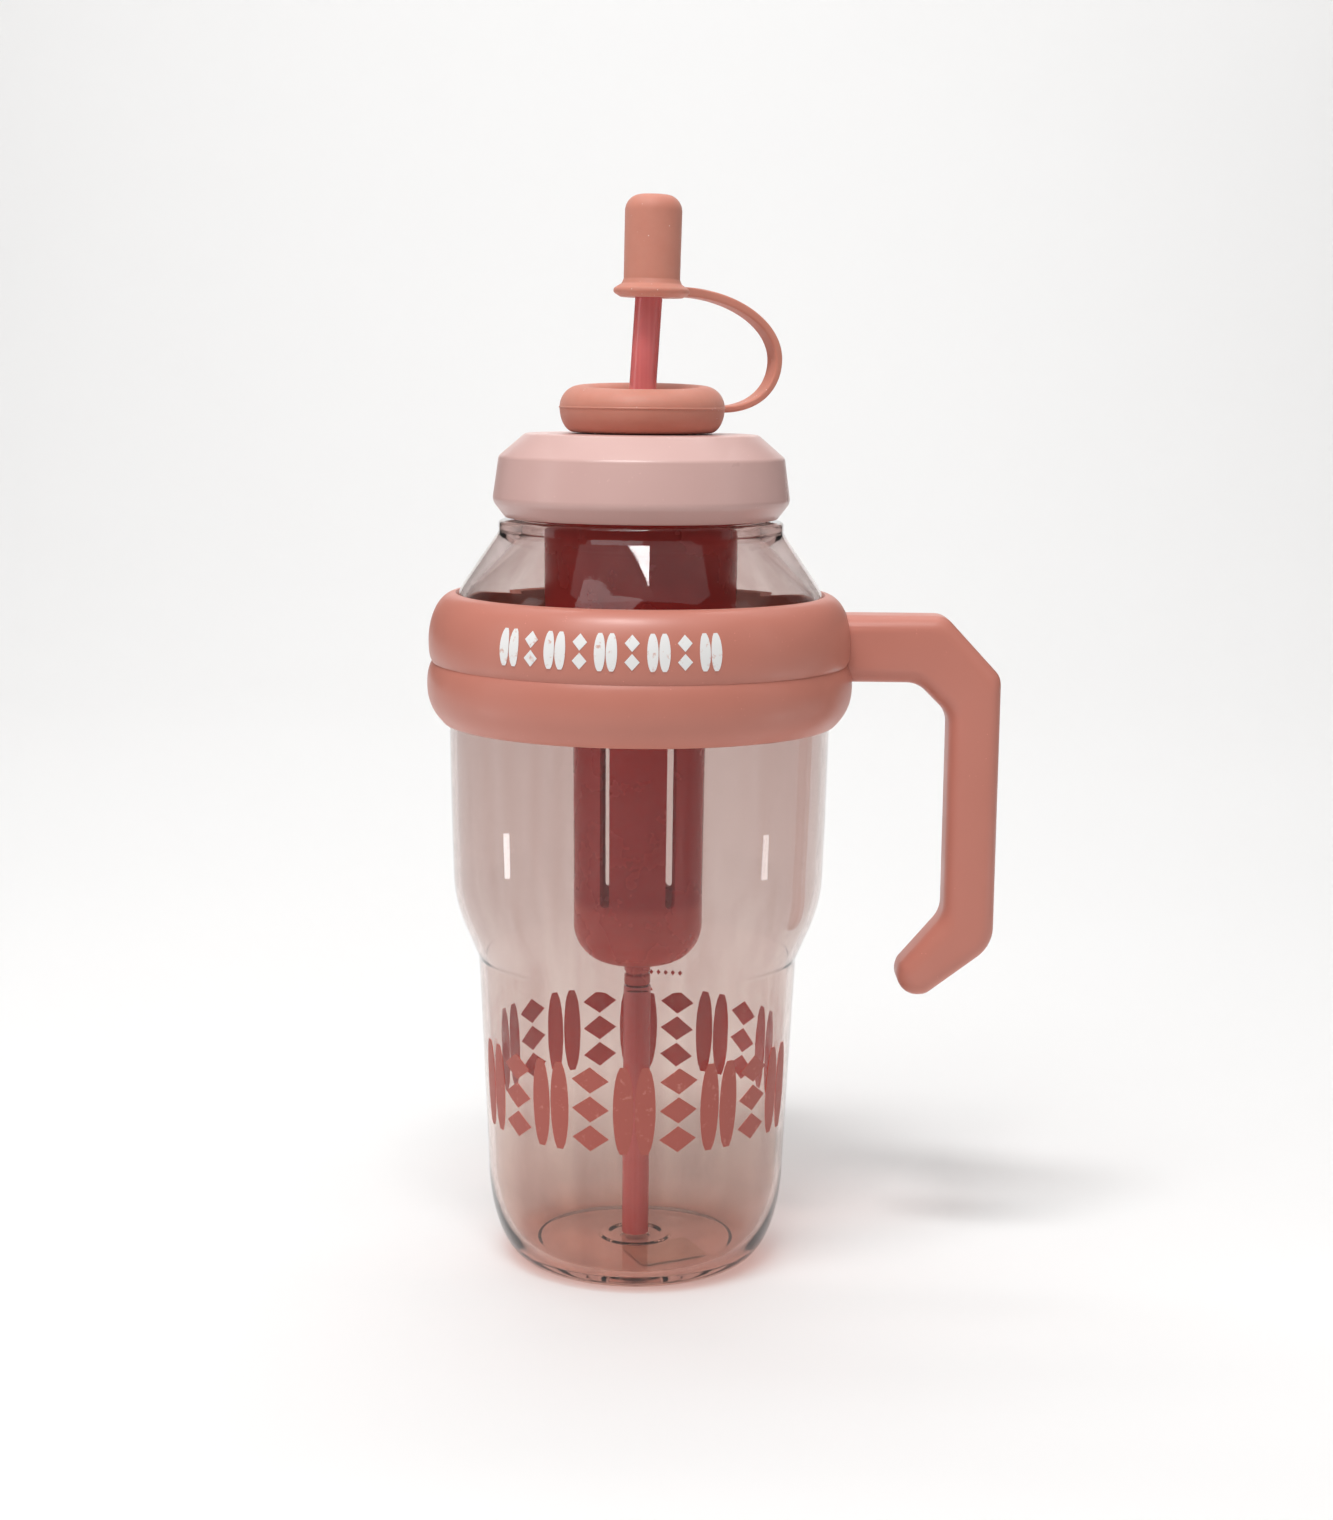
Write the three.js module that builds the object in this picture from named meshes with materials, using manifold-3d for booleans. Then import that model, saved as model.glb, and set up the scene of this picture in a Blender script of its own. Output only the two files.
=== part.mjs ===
// A clear drinking tumbler: bottle body, handle band, screw lid, silicone cap with its tether,
// two straws and a slotted infuser. Millimetres, +Z up. The origin is on the bottle's axis in
// the plane of its foot ring, and the handle points along +X.
import * as THREE from 'three';
import { mergeVertices } from 'three/addons/utils/BufferGeometryUtils.js';
import Module from 'manifold-3d';

const wasm = await Module();
wasm.setup();

// ---- driving dimensions ------------------------------------------------------------------
const GAP = 0.3; // clearance kept between neighbouring pieces
const BIG_SIDES = 36; // facets round the bottle, band and lid
const SMALL_SIDES = 24; // facets round the cap, ring and infuser
const STRAW_SIDES = 16; // facets round the straws

const WALL = 1.8; // bottle wall
const FOOT_IN = 27; // foot ring, inner radius of its flat
const FOOT_OUT = 29; // foot ring, outer radius of its flat
const PUSH_UP = 1; // height of the disc inside the foot ring
const FLOOR = 3.2; // inside floor of the bottle
const HEEL_Z = 26; // top of the rounded heel
const HEEL_R = 39.5;
const WAIST_Z = 81.8; // top of the slim lower body
const WAIST_R = 42.1;
const FLARE_Z = 89.8; // middle of the flare between waist and belly
const FLARE_OUT = 3.3; // how far the flare stands out from the waist there
const BELLY_Z = 103; // top of the waist flare
const BELLY_R = 48.7;
const CHEST_Z = 160; // start of the shoulder
const CHEST_R = 49.7;
const SHOULDER_KNEE_Z = 181; // where the rounded shoulder runs into its straight cone
const SHOULDER_KNEE_R = 45.5;
const SHOULDER_TOP_Z = 192.4; // top of the straight shoulder cone
const SHOULDER_TOP_R = 37.7;
const LEDGE_Z = 196.6; // top of the neck ledge
const LEDGE_R = 36.9;
const NECK_R = 32.7; // outside of the neck, thread root
const NECK_IN = 30.9; // inside of the neck
const RIM_Z = 206.5; // top of the neck

const PITCH = 4; // screw thread lead
const THREAD_H = 1.2; // thread height
const THREAD_TURNS = 1.25;
const THREAD_Z = 198.6; // centre of the neck thread where it starts
const THREAD_STEP = 15; // degrees between thread sections

const LIP_Z = 177.9; // top lip of the band
const LIP_R = 47.7;
const UPPER_BEAD_Z = 165.5;
const UPPER_BEAD_R = 55;
const GROOVE_Z = 160.2;
const GROOVE_R = 54.3;
const LOWER_BEAD_Z = 154.6;
const LOWER_BEAD_R = 55.4;
const BAND_FOOT_Z = 144.5; // bottom edge of the band
const BAND_FOOT_R = 51.3;
const BAND_BORE = CHEST_R + GAP + 0.1; // inside of the band round the chest

const HANDLE_ROOT_X = 52; // the arm starts inside the band's wall
const HANDLE_WIDTH = 16;
const HANDLE_ROUND = 3.5; // rounding of the handle's long edges
const ARM_TOP = 173;
const ARM_UNDER = 155.5;
const GRIP_OUT = 94; // outer and inner face of the upright grip
const GRIP_IN = 80.6;
const ARM_END_X = 79.2; // corner where the arm's top turns down along the slope
const SLOPE_END_Z = 157; // corner where the slope turns into the grip's outer face
const GRIP_FOOT_Z = 84.7; // corner where the grip turns in to the tip
const INNER_CORNER_Z = 147; // foot of the slope on the grip's inner side
const TIP_X = 74.5; // centre and radius of the handle's rounded tip
const TIP_Z = 77.8;
const TIP_R = 5.6;

const LID_TOP = 218.8;
const LID_TOP_R = 30;
const LID_EDGE_Z = 213; // foot of the lid's top chamfer
const LID_EDGE_R = 36.8;
const LID_MAX_Z = 202; // widest ring of the lid
const LID_MAX_R = 38.4;
const LID_BOTTOM = 197.3;
const LID_BOTTOM_R = 35.3;
const LINER_R = 35.2; // outside of the threaded liner
const LINER_IN = 34.2; // thread root inside the liner
const LINER_TOP = 211.8;
const LINER_PLATE = 1.4;
const BOSS_R = 12.2; // boss that carries the straw seal and the tether ring
const BOSS_IN = 9.8;
const BOSS_TOP = 226;
const BOSS_PLATE = 1.5;
const BOSS_HOLE = 6.5;
const GASKET_T = 1.5;
const GASKET_IN = 28.6;

const RING_BOTTOM = 219.1;
const RING_TOP = 231;
const RING_PART_Z = 225.5; // parting line, widest height of the ring
const RING_R = 21.25;
const RING_HOLE = 12.6;
const RING_CROWN_R = 16;
const RING_BASE_R = 17.4; // outer edge of the ring's flat underside
const RING_SIDES = 32;

const STRAW_R = 3.5;
const STRAW_BORE = 3;
const BEND_START = 224; // the upper straw leans from here up
const BEND_END = 234;
const STRAW_LEAN = THREE.MathUtils.degToRad(3.4);
const STRAW_TOP = 272.5;
const DIP_R = 3.6;
const DIP_BOTTOM = 3.9;

const CAP_BOTTOM = 253.5;
const CAP_TOP = 279;
const CAP_R = 7.1;
const CAP_FLANGE_R = 9.6;
const CAP_BORE = 4.4;
const CAP_ROUND = 4; // rounding of the cap's top edge
const CAP_ROOF = 3.5; // thickness of the closed end
const CAP_X = 1.95; // the cap stands a little off the bottle's axis
const CAP_TILT = THREE.MathUtils.degToRad(1);

const STRAP_AZIMUTH = THREE.MathUtils.degToRad(26); // towards +X, turned to the back
const STRAP_T = 2;
const STRAP_W = 5.5;
const STRAP_REACH = 38.5; // furthest point of the strap's middle line
const STRAP_REACH_Z = 238;
const STRAP_CAP_Z = 254.9;
const STRAP_STEPS = 8;

const FLANGE_R = 32.7; // infuser flange on the neck's rim
const FLANGE_T = 1.5;
const COLLAR_R = 30.6;
const COLLAR_Z = 196.5;
const CUP_R = 25;
const CUP_Z = 172; // bottom of the straight cup
const TUBE_TOP_Z = 165;
const TUBE_R = 17.6;
const DOME_Z = 97; // top of the rounded bottom
const DOME_R = 17;
const DOME_BOTTOM = 80;
const DOME_FLAT_R = 7; // flat middle of the dome's underside
const DOME_ROUND = 10; // height of the rounding round it
const FUNNEL_OUT = 2.6; // inward step from the cup to the funnel's mouth
const INFUSER_WALL = 1.4;
const SLOT_W = 2.8;
const SLOT_TOP = 154;
const SLOT_COUNT = 6;
const SOCKET_R = 5.2; // socket for the upper straw, on the dome's floor
const SOCKET_TOP = 93;
const SOCKET_SEAT = 84;
const SPIGOT_R = 3.45;
const SPIGOT_BOTTOM = 73.5;
const NOZZLE_R = 2.6;
const NOZZLE_BOTTOM = 64;
const NOZZLE_BORE = 1.6;

// ---- materials ---------------------------------------------------------------------------
const finish = (color, roughness) => new THREE.MeshStandardMaterial({ color, roughness, metalness: 0 });
const CLEAR = new THREE.MeshStandardMaterial({
  color: 0xe2cfc9, roughness: 0.08, metalness: 0, transparent: true, opacity: 0.35,
});
const SALMON = finish(0xcf8b78, 0.5);
const SILICONE = finish(0xcc8a76, 0.7);
const PALE_PINK = finish(0xd9b3ab, 0.35);
const SEAL = finish(0xe8e2dc, 0.75);
const STRAW_PINK = finish(0xbd5f63, 0.3);
const ROSE = finish(0x8c3a3c, 0.3);

// ---- solids ------------------------------------------------------------------------------
// A closed mesh of three.js as a manifold: vertices merged, empty triangles dropped, and
// turned inside out where its faces point inwards.
function solid(geometry) {
  geometry.deleteAttribute('normal');
  geometry.deleteAttribute('uv');
  const merged = mergeVertices(geometry, 1e-4);
  const index = merged.index.array;
  const at = merged.attributes.position.array;
  const triangles = [];
  let volume = 0;
  for (let i = 0; i < index.length; i += 3) {
    const [a, b, c] = [index[i], index[i + 1], index[i + 2]];
    if (a === b || b === c || c === a) continue;
    triangles.push([a, b, c]);
    const [p, q, r] = [a, b, c].map((v) => new THREE.Vector3().fromArray(at, 3 * v));
    volume += p.dot(q.cross(r));
  }
  const outward = volume > 0 ? triangles : triangles.map(([a, b, c]) => [a, c, b]);
  return new wasm.Manifold(new wasm.Mesh({
    numProp: 3,
    vertProperties: Float32Array.from(at),
    triVerts: Uint32Array.from(outward.flat()),
  }));
}

function geometryOf(manifold) {
  const mesh = manifold.getMesh();
  const geometry = new THREE.BufferGeometry();
  geometry.setAttribute('position', new THREE.BufferAttribute(mesh.vertProperties, 3));
  geometry.setIndex(new THREE.BufferAttribute(mesh.triVerts, 1));
  geometry.computeVertexNormals();
  return geometry;
}

// A solid of revolution about Z. draw(path) draws radius against height.
function turned(draw, sides, divisions = 4) {
  const path = new THREE.Path();
  draw(path);
  const points = path.getPoints(divisions);
  const geometry = new THREE.LatheGeometry(points, sides);
  geometry.rotateX(Math.PI / 2);
  return solid(geometry);
}

function namedMesh(name, manifold, material) {
  const mesh = new THREE.Mesh(geometryOf(manifold), material);
  mesh.name = name;
  return mesh;
}

// A helical ridge about Z, from its wall at rootR to crestR. low is the height of its middle
// at no turn, and it runs from one turn to another. Its section is a trapezoid.
function helicalRidge(rootR, crestR, low, from, to) {
  const sink = rootR < crestR ? -0.4 : 0.4; // the root sits a little inside its wall
  const section = [
    [rootR + sink, -1.0],
    [crestR, -0.35],
    [crestR, 0.35],
    [rootR + sink, 1.0],
  ];
  const steps = Math.round(((to - from) * 360) / THREAD_STEP);
  const position = [];
  for (let i = 0; i <= steps; i++) {
    const turn = THREE.MathUtils.degToRad(from * 360 + i * THREAD_STEP);
    for (const [r, dz] of section) {
      position.push(r * Math.cos(turn), r * Math.sin(turn), low + dz + (PITCH * turn) / (2 * Math.PI));
    }
  }
  const faces = [];
  for (let i = 0; i < steps; i++) {
    for (let j = 0; j < 4; j++) {
      const [a, b] = [4 * i + j, 4 * i + ((j + 1) % 4)];
      faces.push(a, b, b + 4, a, b + 4, a + 4);
    }
  }
  const end = 4 * steps;
  faces.push(0, 2, 1, 0, 3, 2, end, end + 1, end + 2, end, end + 2, end + 3);
  const geometry = new THREE.BufferGeometry();
  geometry.setAttribute('position', new THREE.Float32BufferAttribute(position, 3));
  geometry.setIndex(faces);
  return solid(geometry);
}

// ---- bottle ------------------------------------------------------------------------------
function bottleBody() {
  const shell = turned((p) => {
    p.moveTo(0, PUSH_UP);
    p.lineTo(FOOT_IN - 1, PUSH_UP);
    p.lineTo(FOOT_IN, 0);
    p.lineTo(FOOT_OUT, 0);
    p.absellipse(FOOT_OUT, HEEL_Z, HEEL_R - FOOT_OUT, HEEL_Z, -Math.PI / 2, 0);
    p.lineTo(WAIST_R, WAIST_Z);
    p.lineTo(WAIST_R + FLARE_OUT, FLARE_Z);
    p.quadraticCurveTo(BELLY_R - 0.8, FLARE_Z + 6, BELLY_R, BELLY_Z);
    p.lineTo(CHEST_R, CHEST_Z - 15);
    p.lineTo(CHEST_R, CHEST_Z);
    p.quadraticCurveTo(CHEST_R, SHOULDER_KNEE_Z - 6.2, SHOULDER_KNEE_R, SHOULDER_KNEE_Z);
    p.lineTo(SHOULDER_TOP_R, SHOULDER_TOP_Z);
    p.lineTo(LEDGE_R, SHOULDER_TOP_Z + 1);
    p.lineTo(LEDGE_R, LEDGE_Z - 0.6);
    p.lineTo(LEDGE_R - 0.6, LEDGE_Z);
    p.lineTo(NECK_R, LEDGE_Z);
    p.lineTo(NECK_R, RIM_Z);
    p.lineTo(NECK_IN, RIM_Z);
    p.lineTo(NECK_IN, LEDGE_Z - 3);
    p.lineTo(SHOULDER_KNEE_R - WALL, SHOULDER_KNEE_Z - 1.2);
    p.quadraticCurveTo(CHEST_R - WALL, SHOULDER_KNEE_Z - 7, CHEST_R - WALL, CHEST_Z);
    p.lineTo(CHEST_R - WALL, CHEST_Z - 15);
    p.lineTo(BELLY_R - WALL, BELLY_Z);
    p.quadraticCurveTo(BELLY_R - WALL - 0.8, FLARE_Z + 6, WAIST_R - WALL + FLARE_OUT, FLARE_Z);
    p.lineTo(WAIST_R - WALL, WAIST_Z);
    p.lineTo(HEEL_R - WALL, HEEL_Z);
    const heel = HEEL_R - WALL - FOOT_OUT + 2;
    p.absellipse(FOOT_OUT - 2, HEEL_Z, heel, HEEL_Z - FLOOR, 0, -Math.PI / 2, true);
    p.lineTo(0, FLOOR);
  }, BIG_SIDES, 3);
  return shell.add(helicalRidge(NECK_R, NECK_R + THREAD_H, THREAD_Z, 0, THREAD_TURNS));
}

// ---- band and handle ---------------------------------------------------------------------
function bandRing() {
  const crownR = LIP_R + 0.3;
  const [crownWidth, crownHeight] = [UPPER_BEAD_R - LIP_R - 0.3, LIP_Z - UPPER_BEAD_Z];
  return turned((p) => {
    p.moveTo(LIP_R - 0.2, LIP_Z - 0.5);
    p.lineTo(crownR, LIP_Z);
    p.absellipse(crownR, UPPER_BEAD_Z, crownWidth, crownHeight, Math.PI / 2, 0, true);
    p.quadraticCurveTo(UPPER_BEAD_R, GROOVE_Z + 2, GROOVE_R, GROOVE_Z);
    p.quadraticCurveTo(LOWER_BEAD_R, GROOVE_Z - 2, LOWER_BEAD_R, LOWER_BEAD_Z);
    p.bezierCurveTo(
      LOWER_BEAD_R, LOWER_BEAD_Z - 5,
      BAND_FOOT_R + 2.5, BAND_FOOT_Z + 2.6,
      BAND_FOOT_R, BAND_FOOT_Z,
    );
    p.lineTo(BAND_BORE, BAND_FOOT_Z);
    p.lineTo(BAND_BORE, CHEST_Z);
    p.quadraticCurveTo(BAND_BORE, LIP_Z - 6.4, LIP_R - 0.2, LIP_Z - 0.5);
  }, BIG_SIDES, 4);
}

// The outline runs along the arm, down the slope and the grip, round the tip and back inside.
function handleBar() {
  const outline = new THREE.Shape();
  outline.moveTo(HANDLE_ROOT_X, ARM_TOP);
  outline.lineTo(ARM_END_X - 2, ARM_TOP);
  outline.quadraticCurveTo(ARM_END_X, ARM_TOP, ARM_END_X + 1.4, ARM_TOP - 1.6);
  outline.lineTo(GRIP_OUT - 1.2, SLOPE_END_Z + 1.4);
  outline.quadraticCurveTo(GRIP_OUT, SLOPE_END_Z, GRIP_OUT, SLOPE_END_Z - 2.6);
  outline.lineTo(GRIP_OUT, GRIP_FOOT_Z + 4.3);
  outline.quadraticCurveTo(GRIP_OUT, GRIP_FOOT_Z, GRIP_OUT - 3, GRIP_FOOT_Z - 2.1);
  outline.absarc(TIP_X, TIP_Z, TIP_R, -Math.PI * 0.31, -Math.PI * 1.24, true);
  outline.lineTo(GRIP_IN - 1, GRIP_FOOT_Z + 7.9);
  outline.quadraticCurveTo(GRIP_IN, GRIP_FOOT_Z + 9.3, GRIP_IN, GRIP_FOOT_Z + 11.3);
  outline.lineTo(GRIP_IN, INNER_CORNER_Z);
  outline.lineTo(GRIP_IN - 8.1, ARM_UNDER);
  outline.lineTo(HANDLE_ROOT_X, ARM_UNDER);
  outline.closePath();
  const geometry = new THREE.ExtrudeGeometry(outline, {
    depth: HANDLE_WIDTH - 2 * HANDLE_ROUND,
    bevelThickness: HANDLE_ROUND,
    bevelSize: HANDLE_ROUND,
    bevelOffset: -HANDLE_ROUND,
    bevelSegments: 2,
    curveSegments: 4,
  });
  geometry.translate(0, 0, HANDLE_ROUND - HANDLE_WIDTH / 2);
  geometry.rotateX(Math.PI / 2);
  return solid(geometry);
}

// ---- lid ---------------------------------------------------------------------------------
function lidShell() {
  const bore = BOSS_R + GAP;
  return turned((p) => {
    p.moveTo(bore, LID_TOP);
    p.lineTo(bore, LID_TOP - 1.4);
    p.lineTo(LID_TOP_R - 0.6, LID_TOP - 1.4);
    p.lineTo(LINER_R + GAP, LINER_TOP + 0.5);
    p.lineTo(LINER_R + GAP, LID_BOTTOM + 2.8);
    p.lineTo(LINER_IN + 0.1, LID_BOTTOM + 1.8);
    p.lineTo(LINER_IN + 0.1, LID_BOTTOM);
    p.lineTo(LID_BOTTOM_R, LID_BOTTOM);
    p.quadraticCurveTo(LID_MAX_R - 0.4, LID_BOTTOM + 2.8, LID_MAX_R, LID_MAX_Z);
    p.lineTo(LID_EDGE_R + 0.4, LID_EDGE_Z - 1);
    p.lineTo(LID_EDGE_R, LID_EDGE_Z);
    p.lineTo(LID_TOP_R, LID_TOP);
    p.lineTo(bore, LID_TOP);
  }, BIG_SIDES, 3);
}

function lidLiner() {
  const under = LINER_TOP - LINER_PLATE;
  const cup = turned((p) => {
    p.moveTo(LINER_R, LID_BOTTOM + 3.1);
    p.lineTo(LINER_R, LINER_TOP);
    p.lineTo(BOSS_R, LINER_TOP);
    p.lineTo(BOSS_R, BOSS_TOP);
    p.lineTo(BOSS_HOLE, BOSS_TOP);
    p.lineTo(BOSS_HOLE, BOSS_TOP - BOSS_PLATE);
    p.lineTo(BOSS_IN, BOSS_TOP - BOSS_PLATE);
    p.lineTo(BOSS_IN, under);
    p.lineTo(LINER_IN, under);
    p.lineTo(LINER_IN, LID_BOTTOM + 3.1);
    p.lineTo(LINER_R, LID_BOTTOM + 3.1);
  }, BIG_SIDES);
  const between = THREAD_Z + PITCH / 2;
  return cup.add(helicalRidge(LINER_IN, LINER_IN - THREAD_H, between, 0.25, THREAD_TURNS));
}

function flatRing(inner, outer, low, high, sides) {
  return turned((p) => {
    p.moveTo(inner, low);
    p.lineTo(outer, low);
    p.lineTo(outer, high);
    p.lineTo(inner, high);
    p.lineTo(inner, low);
  }, sides);
}

// The straw seal is a bobbin: its waist sits in the boss's hole between two flanges.
function strawGrommet() {
  const bore = STRAW_R + GAP;
  const [top, under] = [BOSS_TOP + GAP, BOSS_TOP - BOSS_PLATE - GAP];
  return turned((p) => {
    p.moveTo(bore, under - 1.5);
    p.lineTo(BOSS_HOLE + 2, under - 1.5);
    p.lineTo(BOSS_HOLE + 2, under);
    p.lineTo(BOSS_HOLE - GAP, under);
    p.lineTo(BOSS_HOLE - GAP, top);
    p.lineTo(BOSS_HOLE + 2, top);
    p.lineTo(BOSS_HOLE + 1.4, top + 1.5);
    p.lineTo(bore, top + 1.5);
    p.lineTo(bore, under - 1.5);
  }, SMALL_SIDES);
}

// ---- silicone ring, strap and cap ----------------------------------------------------------
function tetherRing() {
  const [low, high] = [RING_PART_Z - RING_BOTTOM, RING_TOP - RING_PART_Z];
  return turned((p) => {
    p.moveTo(RING_HOLE, RING_BOTTOM);
    p.lineTo(RING_BASE_R, RING_BOTTOM);
    p.absellipse(RING_BASE_R, RING_PART_Z, RING_R - RING_BASE_R, low, -Math.PI / 2, 0);
    p.absellipse(RING_CROWN_R, RING_PART_Z, RING_R - RING_CROWN_R, high, 0, Math.PI / 2);
    p.absellipse(RING_CROWN_R, RING_TOP - 3, RING_CROWN_R - RING_HOLE, 3, Math.PI / 2, Math.PI);
    p.lineTo(RING_HOLE, RING_BOTTOM);
  }, RING_SIDES, 2);
}

// The strap leaves the ring level, swings out and comes back level to the cap's flange.
function tetherStrap() {
  const capSide = CAP_X * Math.cos(STRAP_AZIMUTH) + CAP_FLANGE_R + GAP + 0.1;
  const ringSide = RING_R + GAP;
  const middle = new THREE.CurvePath();
  middle.add(new THREE.CubicBezierCurve(
    new THREE.Vector2(ringSide, RING_PART_Z),
    new THREE.Vector2(STRAP_REACH - 6.5, RING_PART_Z - 0.6),
    new THREE.Vector2(STRAP_REACH, STRAP_REACH_Z - 7.5),
    new THREE.Vector2(STRAP_REACH, STRAP_REACH_Z),
  ));
  middle.add(new THREE.CubicBezierCurve(
    new THREE.Vector2(STRAP_REACH, STRAP_REACH_Z),
    new THREE.Vector2(STRAP_REACH, STRAP_REACH_Z + 9.5),
    new THREE.Vector2(STRAP_REACH - 14, STRAP_CAP_Z),
    new THREE.Vector2(capSide, STRAP_CAP_Z),
  ));
  const sides = [[], []];
  for (const curve of middle.curves) {
    for (let i = curve === middle.curves[0] ? 0 : 1; i <= STRAP_STEPS; i++) {
      const at = curve.getPoint(i / STRAP_STEPS);
      const along = curve.getTangent(i / STRAP_STEPS);
      const across = new THREE.Vector2(-along.y, along.x).multiplyScalar(STRAP_T / 2);
      sides[0].push(at.clone().add(across));
      sides[1].unshift(at.clone().sub(across));
    }
  }
  const outline = new THREE.Shape([...sides[0], ...sides[1]]);
  const geometry = new THREE.ExtrudeGeometry(outline, { depth: STRAP_W, bevelEnabled: false });
  geometry.translate(0, 0, -STRAP_W / 2);
  geometry.rotateX(Math.PI / 2);
  geometry.rotateZ(STRAP_AZIMUTH);
  return solid(geometry);
}

// The cap stands on its own origin, the middle of the flange's underside.
function strawCap() {
  const height = CAP_TOP - CAP_BOTTOM;
  const roundR = CAP_R + 0.1 - CAP_ROUND;
  return turned((p) => {
    p.moveTo(CAP_BORE, 0);
    p.lineTo(CAP_FLANGE_R - 1.3, 0);
    p.quadraticCurveTo(CAP_FLANGE_R, 0.6, CAP_FLANGE_R, 2);
    p.quadraticCurveTo(CAP_FLANGE_R - 0.3, 3.2, CAP_R + 0.3, 4.2);
    p.lineTo(CAP_R - 0.1, 5);
    p.lineTo(CAP_R + 0.1, height - CAP_ROUND);
    p.absellipse(roundR, height - CAP_ROUND, CAP_ROUND, CAP_ROUND, 0, Math.PI / 2);
    p.lineTo(0, height);
    p.lineTo(0, height - CAP_ROOF);
    p.lineTo(CAP_BORE - 1.5, height - CAP_ROOF);
    p.lineTo(CAP_BORE, height - CAP_ROOF - 1.5);
    p.lineTo(CAP_BORE, 0);
  }, SMALL_SIDES, 3);
}

// ---- straws ------------------------------------------------------------------------------
// A round bar along a path that lies in the XZ plane.
function bar(path, radius, steps) {
  const circle = new THREE.Shape();
  circle.absarc(0, 0, radius, 0, 2 * Math.PI);
  const geometry = new THREE.ExtrudeGeometry(circle, {
    extrudePath: path, steps, curveSegments: STRAW_SIDES / 2, bevelEnabled: false,
  });
  return solid(geometry);
}

// The middle line of the upper straw: upright through infuser and lid, then leaning to +X.
class StrawLine extends THREE.Curve {
  constructor(low, high) {
    super();
    this.low = low;
    this.high = high;
  }

  getPoint(t, target = new THREE.Vector3()) {
    const z = this.low + t * (this.high - this.low);
    const bend = Math.max(0, Math.min(z, BEND_END) - BEND_START);
    const curved = (bend * bend * Math.tan(STRAW_LEAN)) / (2 * (BEND_END - BEND_START));
    const straight = Math.max(0, z - BEND_END) * Math.tan(STRAW_LEAN);
    return target.set(curved + straight, 0, z);
  }
}

function drinkingStraw() {
  const low = SOCKET_SEAT + 0.4;
  const upright = flatRing(STRAW_BORE, STRAW_R, low, BEND_START, STRAW_SIDES);
  const outside = bar(new StrawLine(BEND_START - 2, STRAW_TOP), STRAW_R, 10);
  const inside = bar(new StrawLine(BEND_START - 3, STRAW_TOP + 1), STRAW_BORE, 10);
  return upright.add(outside).subtract(inside);
}

// ---- infuser -----------------------------------------------------------------------------
function infuserBasket() {
  const w = INFUSER_WALL;
  const flangeZ = RIM_Z + GAP;
  const roundZ = DOME_BOTTOM + DOME_ROUND;
  const roundR = DOME_R - DOME_FLAT_R;
  const body = turned((p) => {
    p.moveTo(NOZZLE_BORE, NOZZLE_BOTTOM);
    p.lineTo(NOZZLE_R, NOZZLE_BOTTOM);
    p.lineTo(NOZZLE_R, SPIGOT_BOTTOM);
    p.lineTo(SPIGOT_R, SPIGOT_BOTTOM + 0.6);
    p.lineTo(SPIGOT_R, SPIGOT_BOTTOM + 2.4);
    p.lineTo(SPIGOT_R - 0.6, SPIGOT_BOTTOM + 3);
    p.lineTo(SPIGOT_R, SPIGOT_BOTTOM + 3.6);
    p.lineTo(SPIGOT_R, DOME_BOTTOM + 0.1);
    p.lineTo(DOME_FLAT_R, DOME_BOTTOM);
    p.absellipse(DOME_FLAT_R, roundZ, roundR, DOME_ROUND, -Math.PI / 2, 0);
    p.lineTo(DOME_R, DOME_Z);
    p.lineTo(TUBE_R, TUBE_TOP_Z - 1);
    p.quadraticCurveTo(TUBE_R + 0.2, TUBE_TOP_Z + 2, CUP_R - FUNNEL_OUT, CUP_Z - 2.2);
    p.lineTo(CUP_R, CUP_Z);
    p.lineTo(CUP_R, COLLAR_Z);
    p.lineTo(COLLAR_R, COLLAR_Z);
    p.lineTo(COLLAR_R, flangeZ);
    p.lineTo(FLANGE_R, flangeZ);
    p.lineTo(FLANGE_R, flangeZ + FLANGE_T);
    p.lineTo(COLLAR_R - w, flangeZ + FLANGE_T);
    p.lineTo(COLLAR_R - w, COLLAR_Z + w);
    p.lineTo(CUP_R - w, COLLAR_Z + w);
    p.lineTo(CUP_R - w, CUP_Z + 0.8);
    p.lineTo(CUP_R - FUNNEL_OUT - w, CUP_Z - 1);
    p.quadraticCurveTo(TUBE_R - w + 0.2, TUBE_TOP_Z + 2, TUBE_R - w, TUBE_TOP_Z - 1);
    p.lineTo(DOME_R - w, DOME_Z);
    p.lineTo(DOME_R - w, roundZ);
    p.absellipse(DOME_FLAT_R, roundZ, roundR - w, DOME_ROUND - w, 0, -Math.PI / 2, true);
    p.lineTo(SOCKET_R, DOME_BOTTOM + w);
    p.lineTo(SOCKET_R, SOCKET_TOP);
    p.lineTo(STRAW_R + GAP, SOCKET_TOP);
    p.lineTo(STRAW_R + GAP, SOCKET_SEAT);
    p.lineTo(NOZZLE_BORE, SOCKET_SEAT);
    p.lineTo(NOZZLE_BORE, NOZZLE_BOTTOM);
  }, SMALL_SIDES, 3);
  let cut = body;
  for (let i = 0; i < SLOT_COUNT / 2; i++) cut = cut.subtract(slotPair(i * 60));
  return cut;
}

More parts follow.
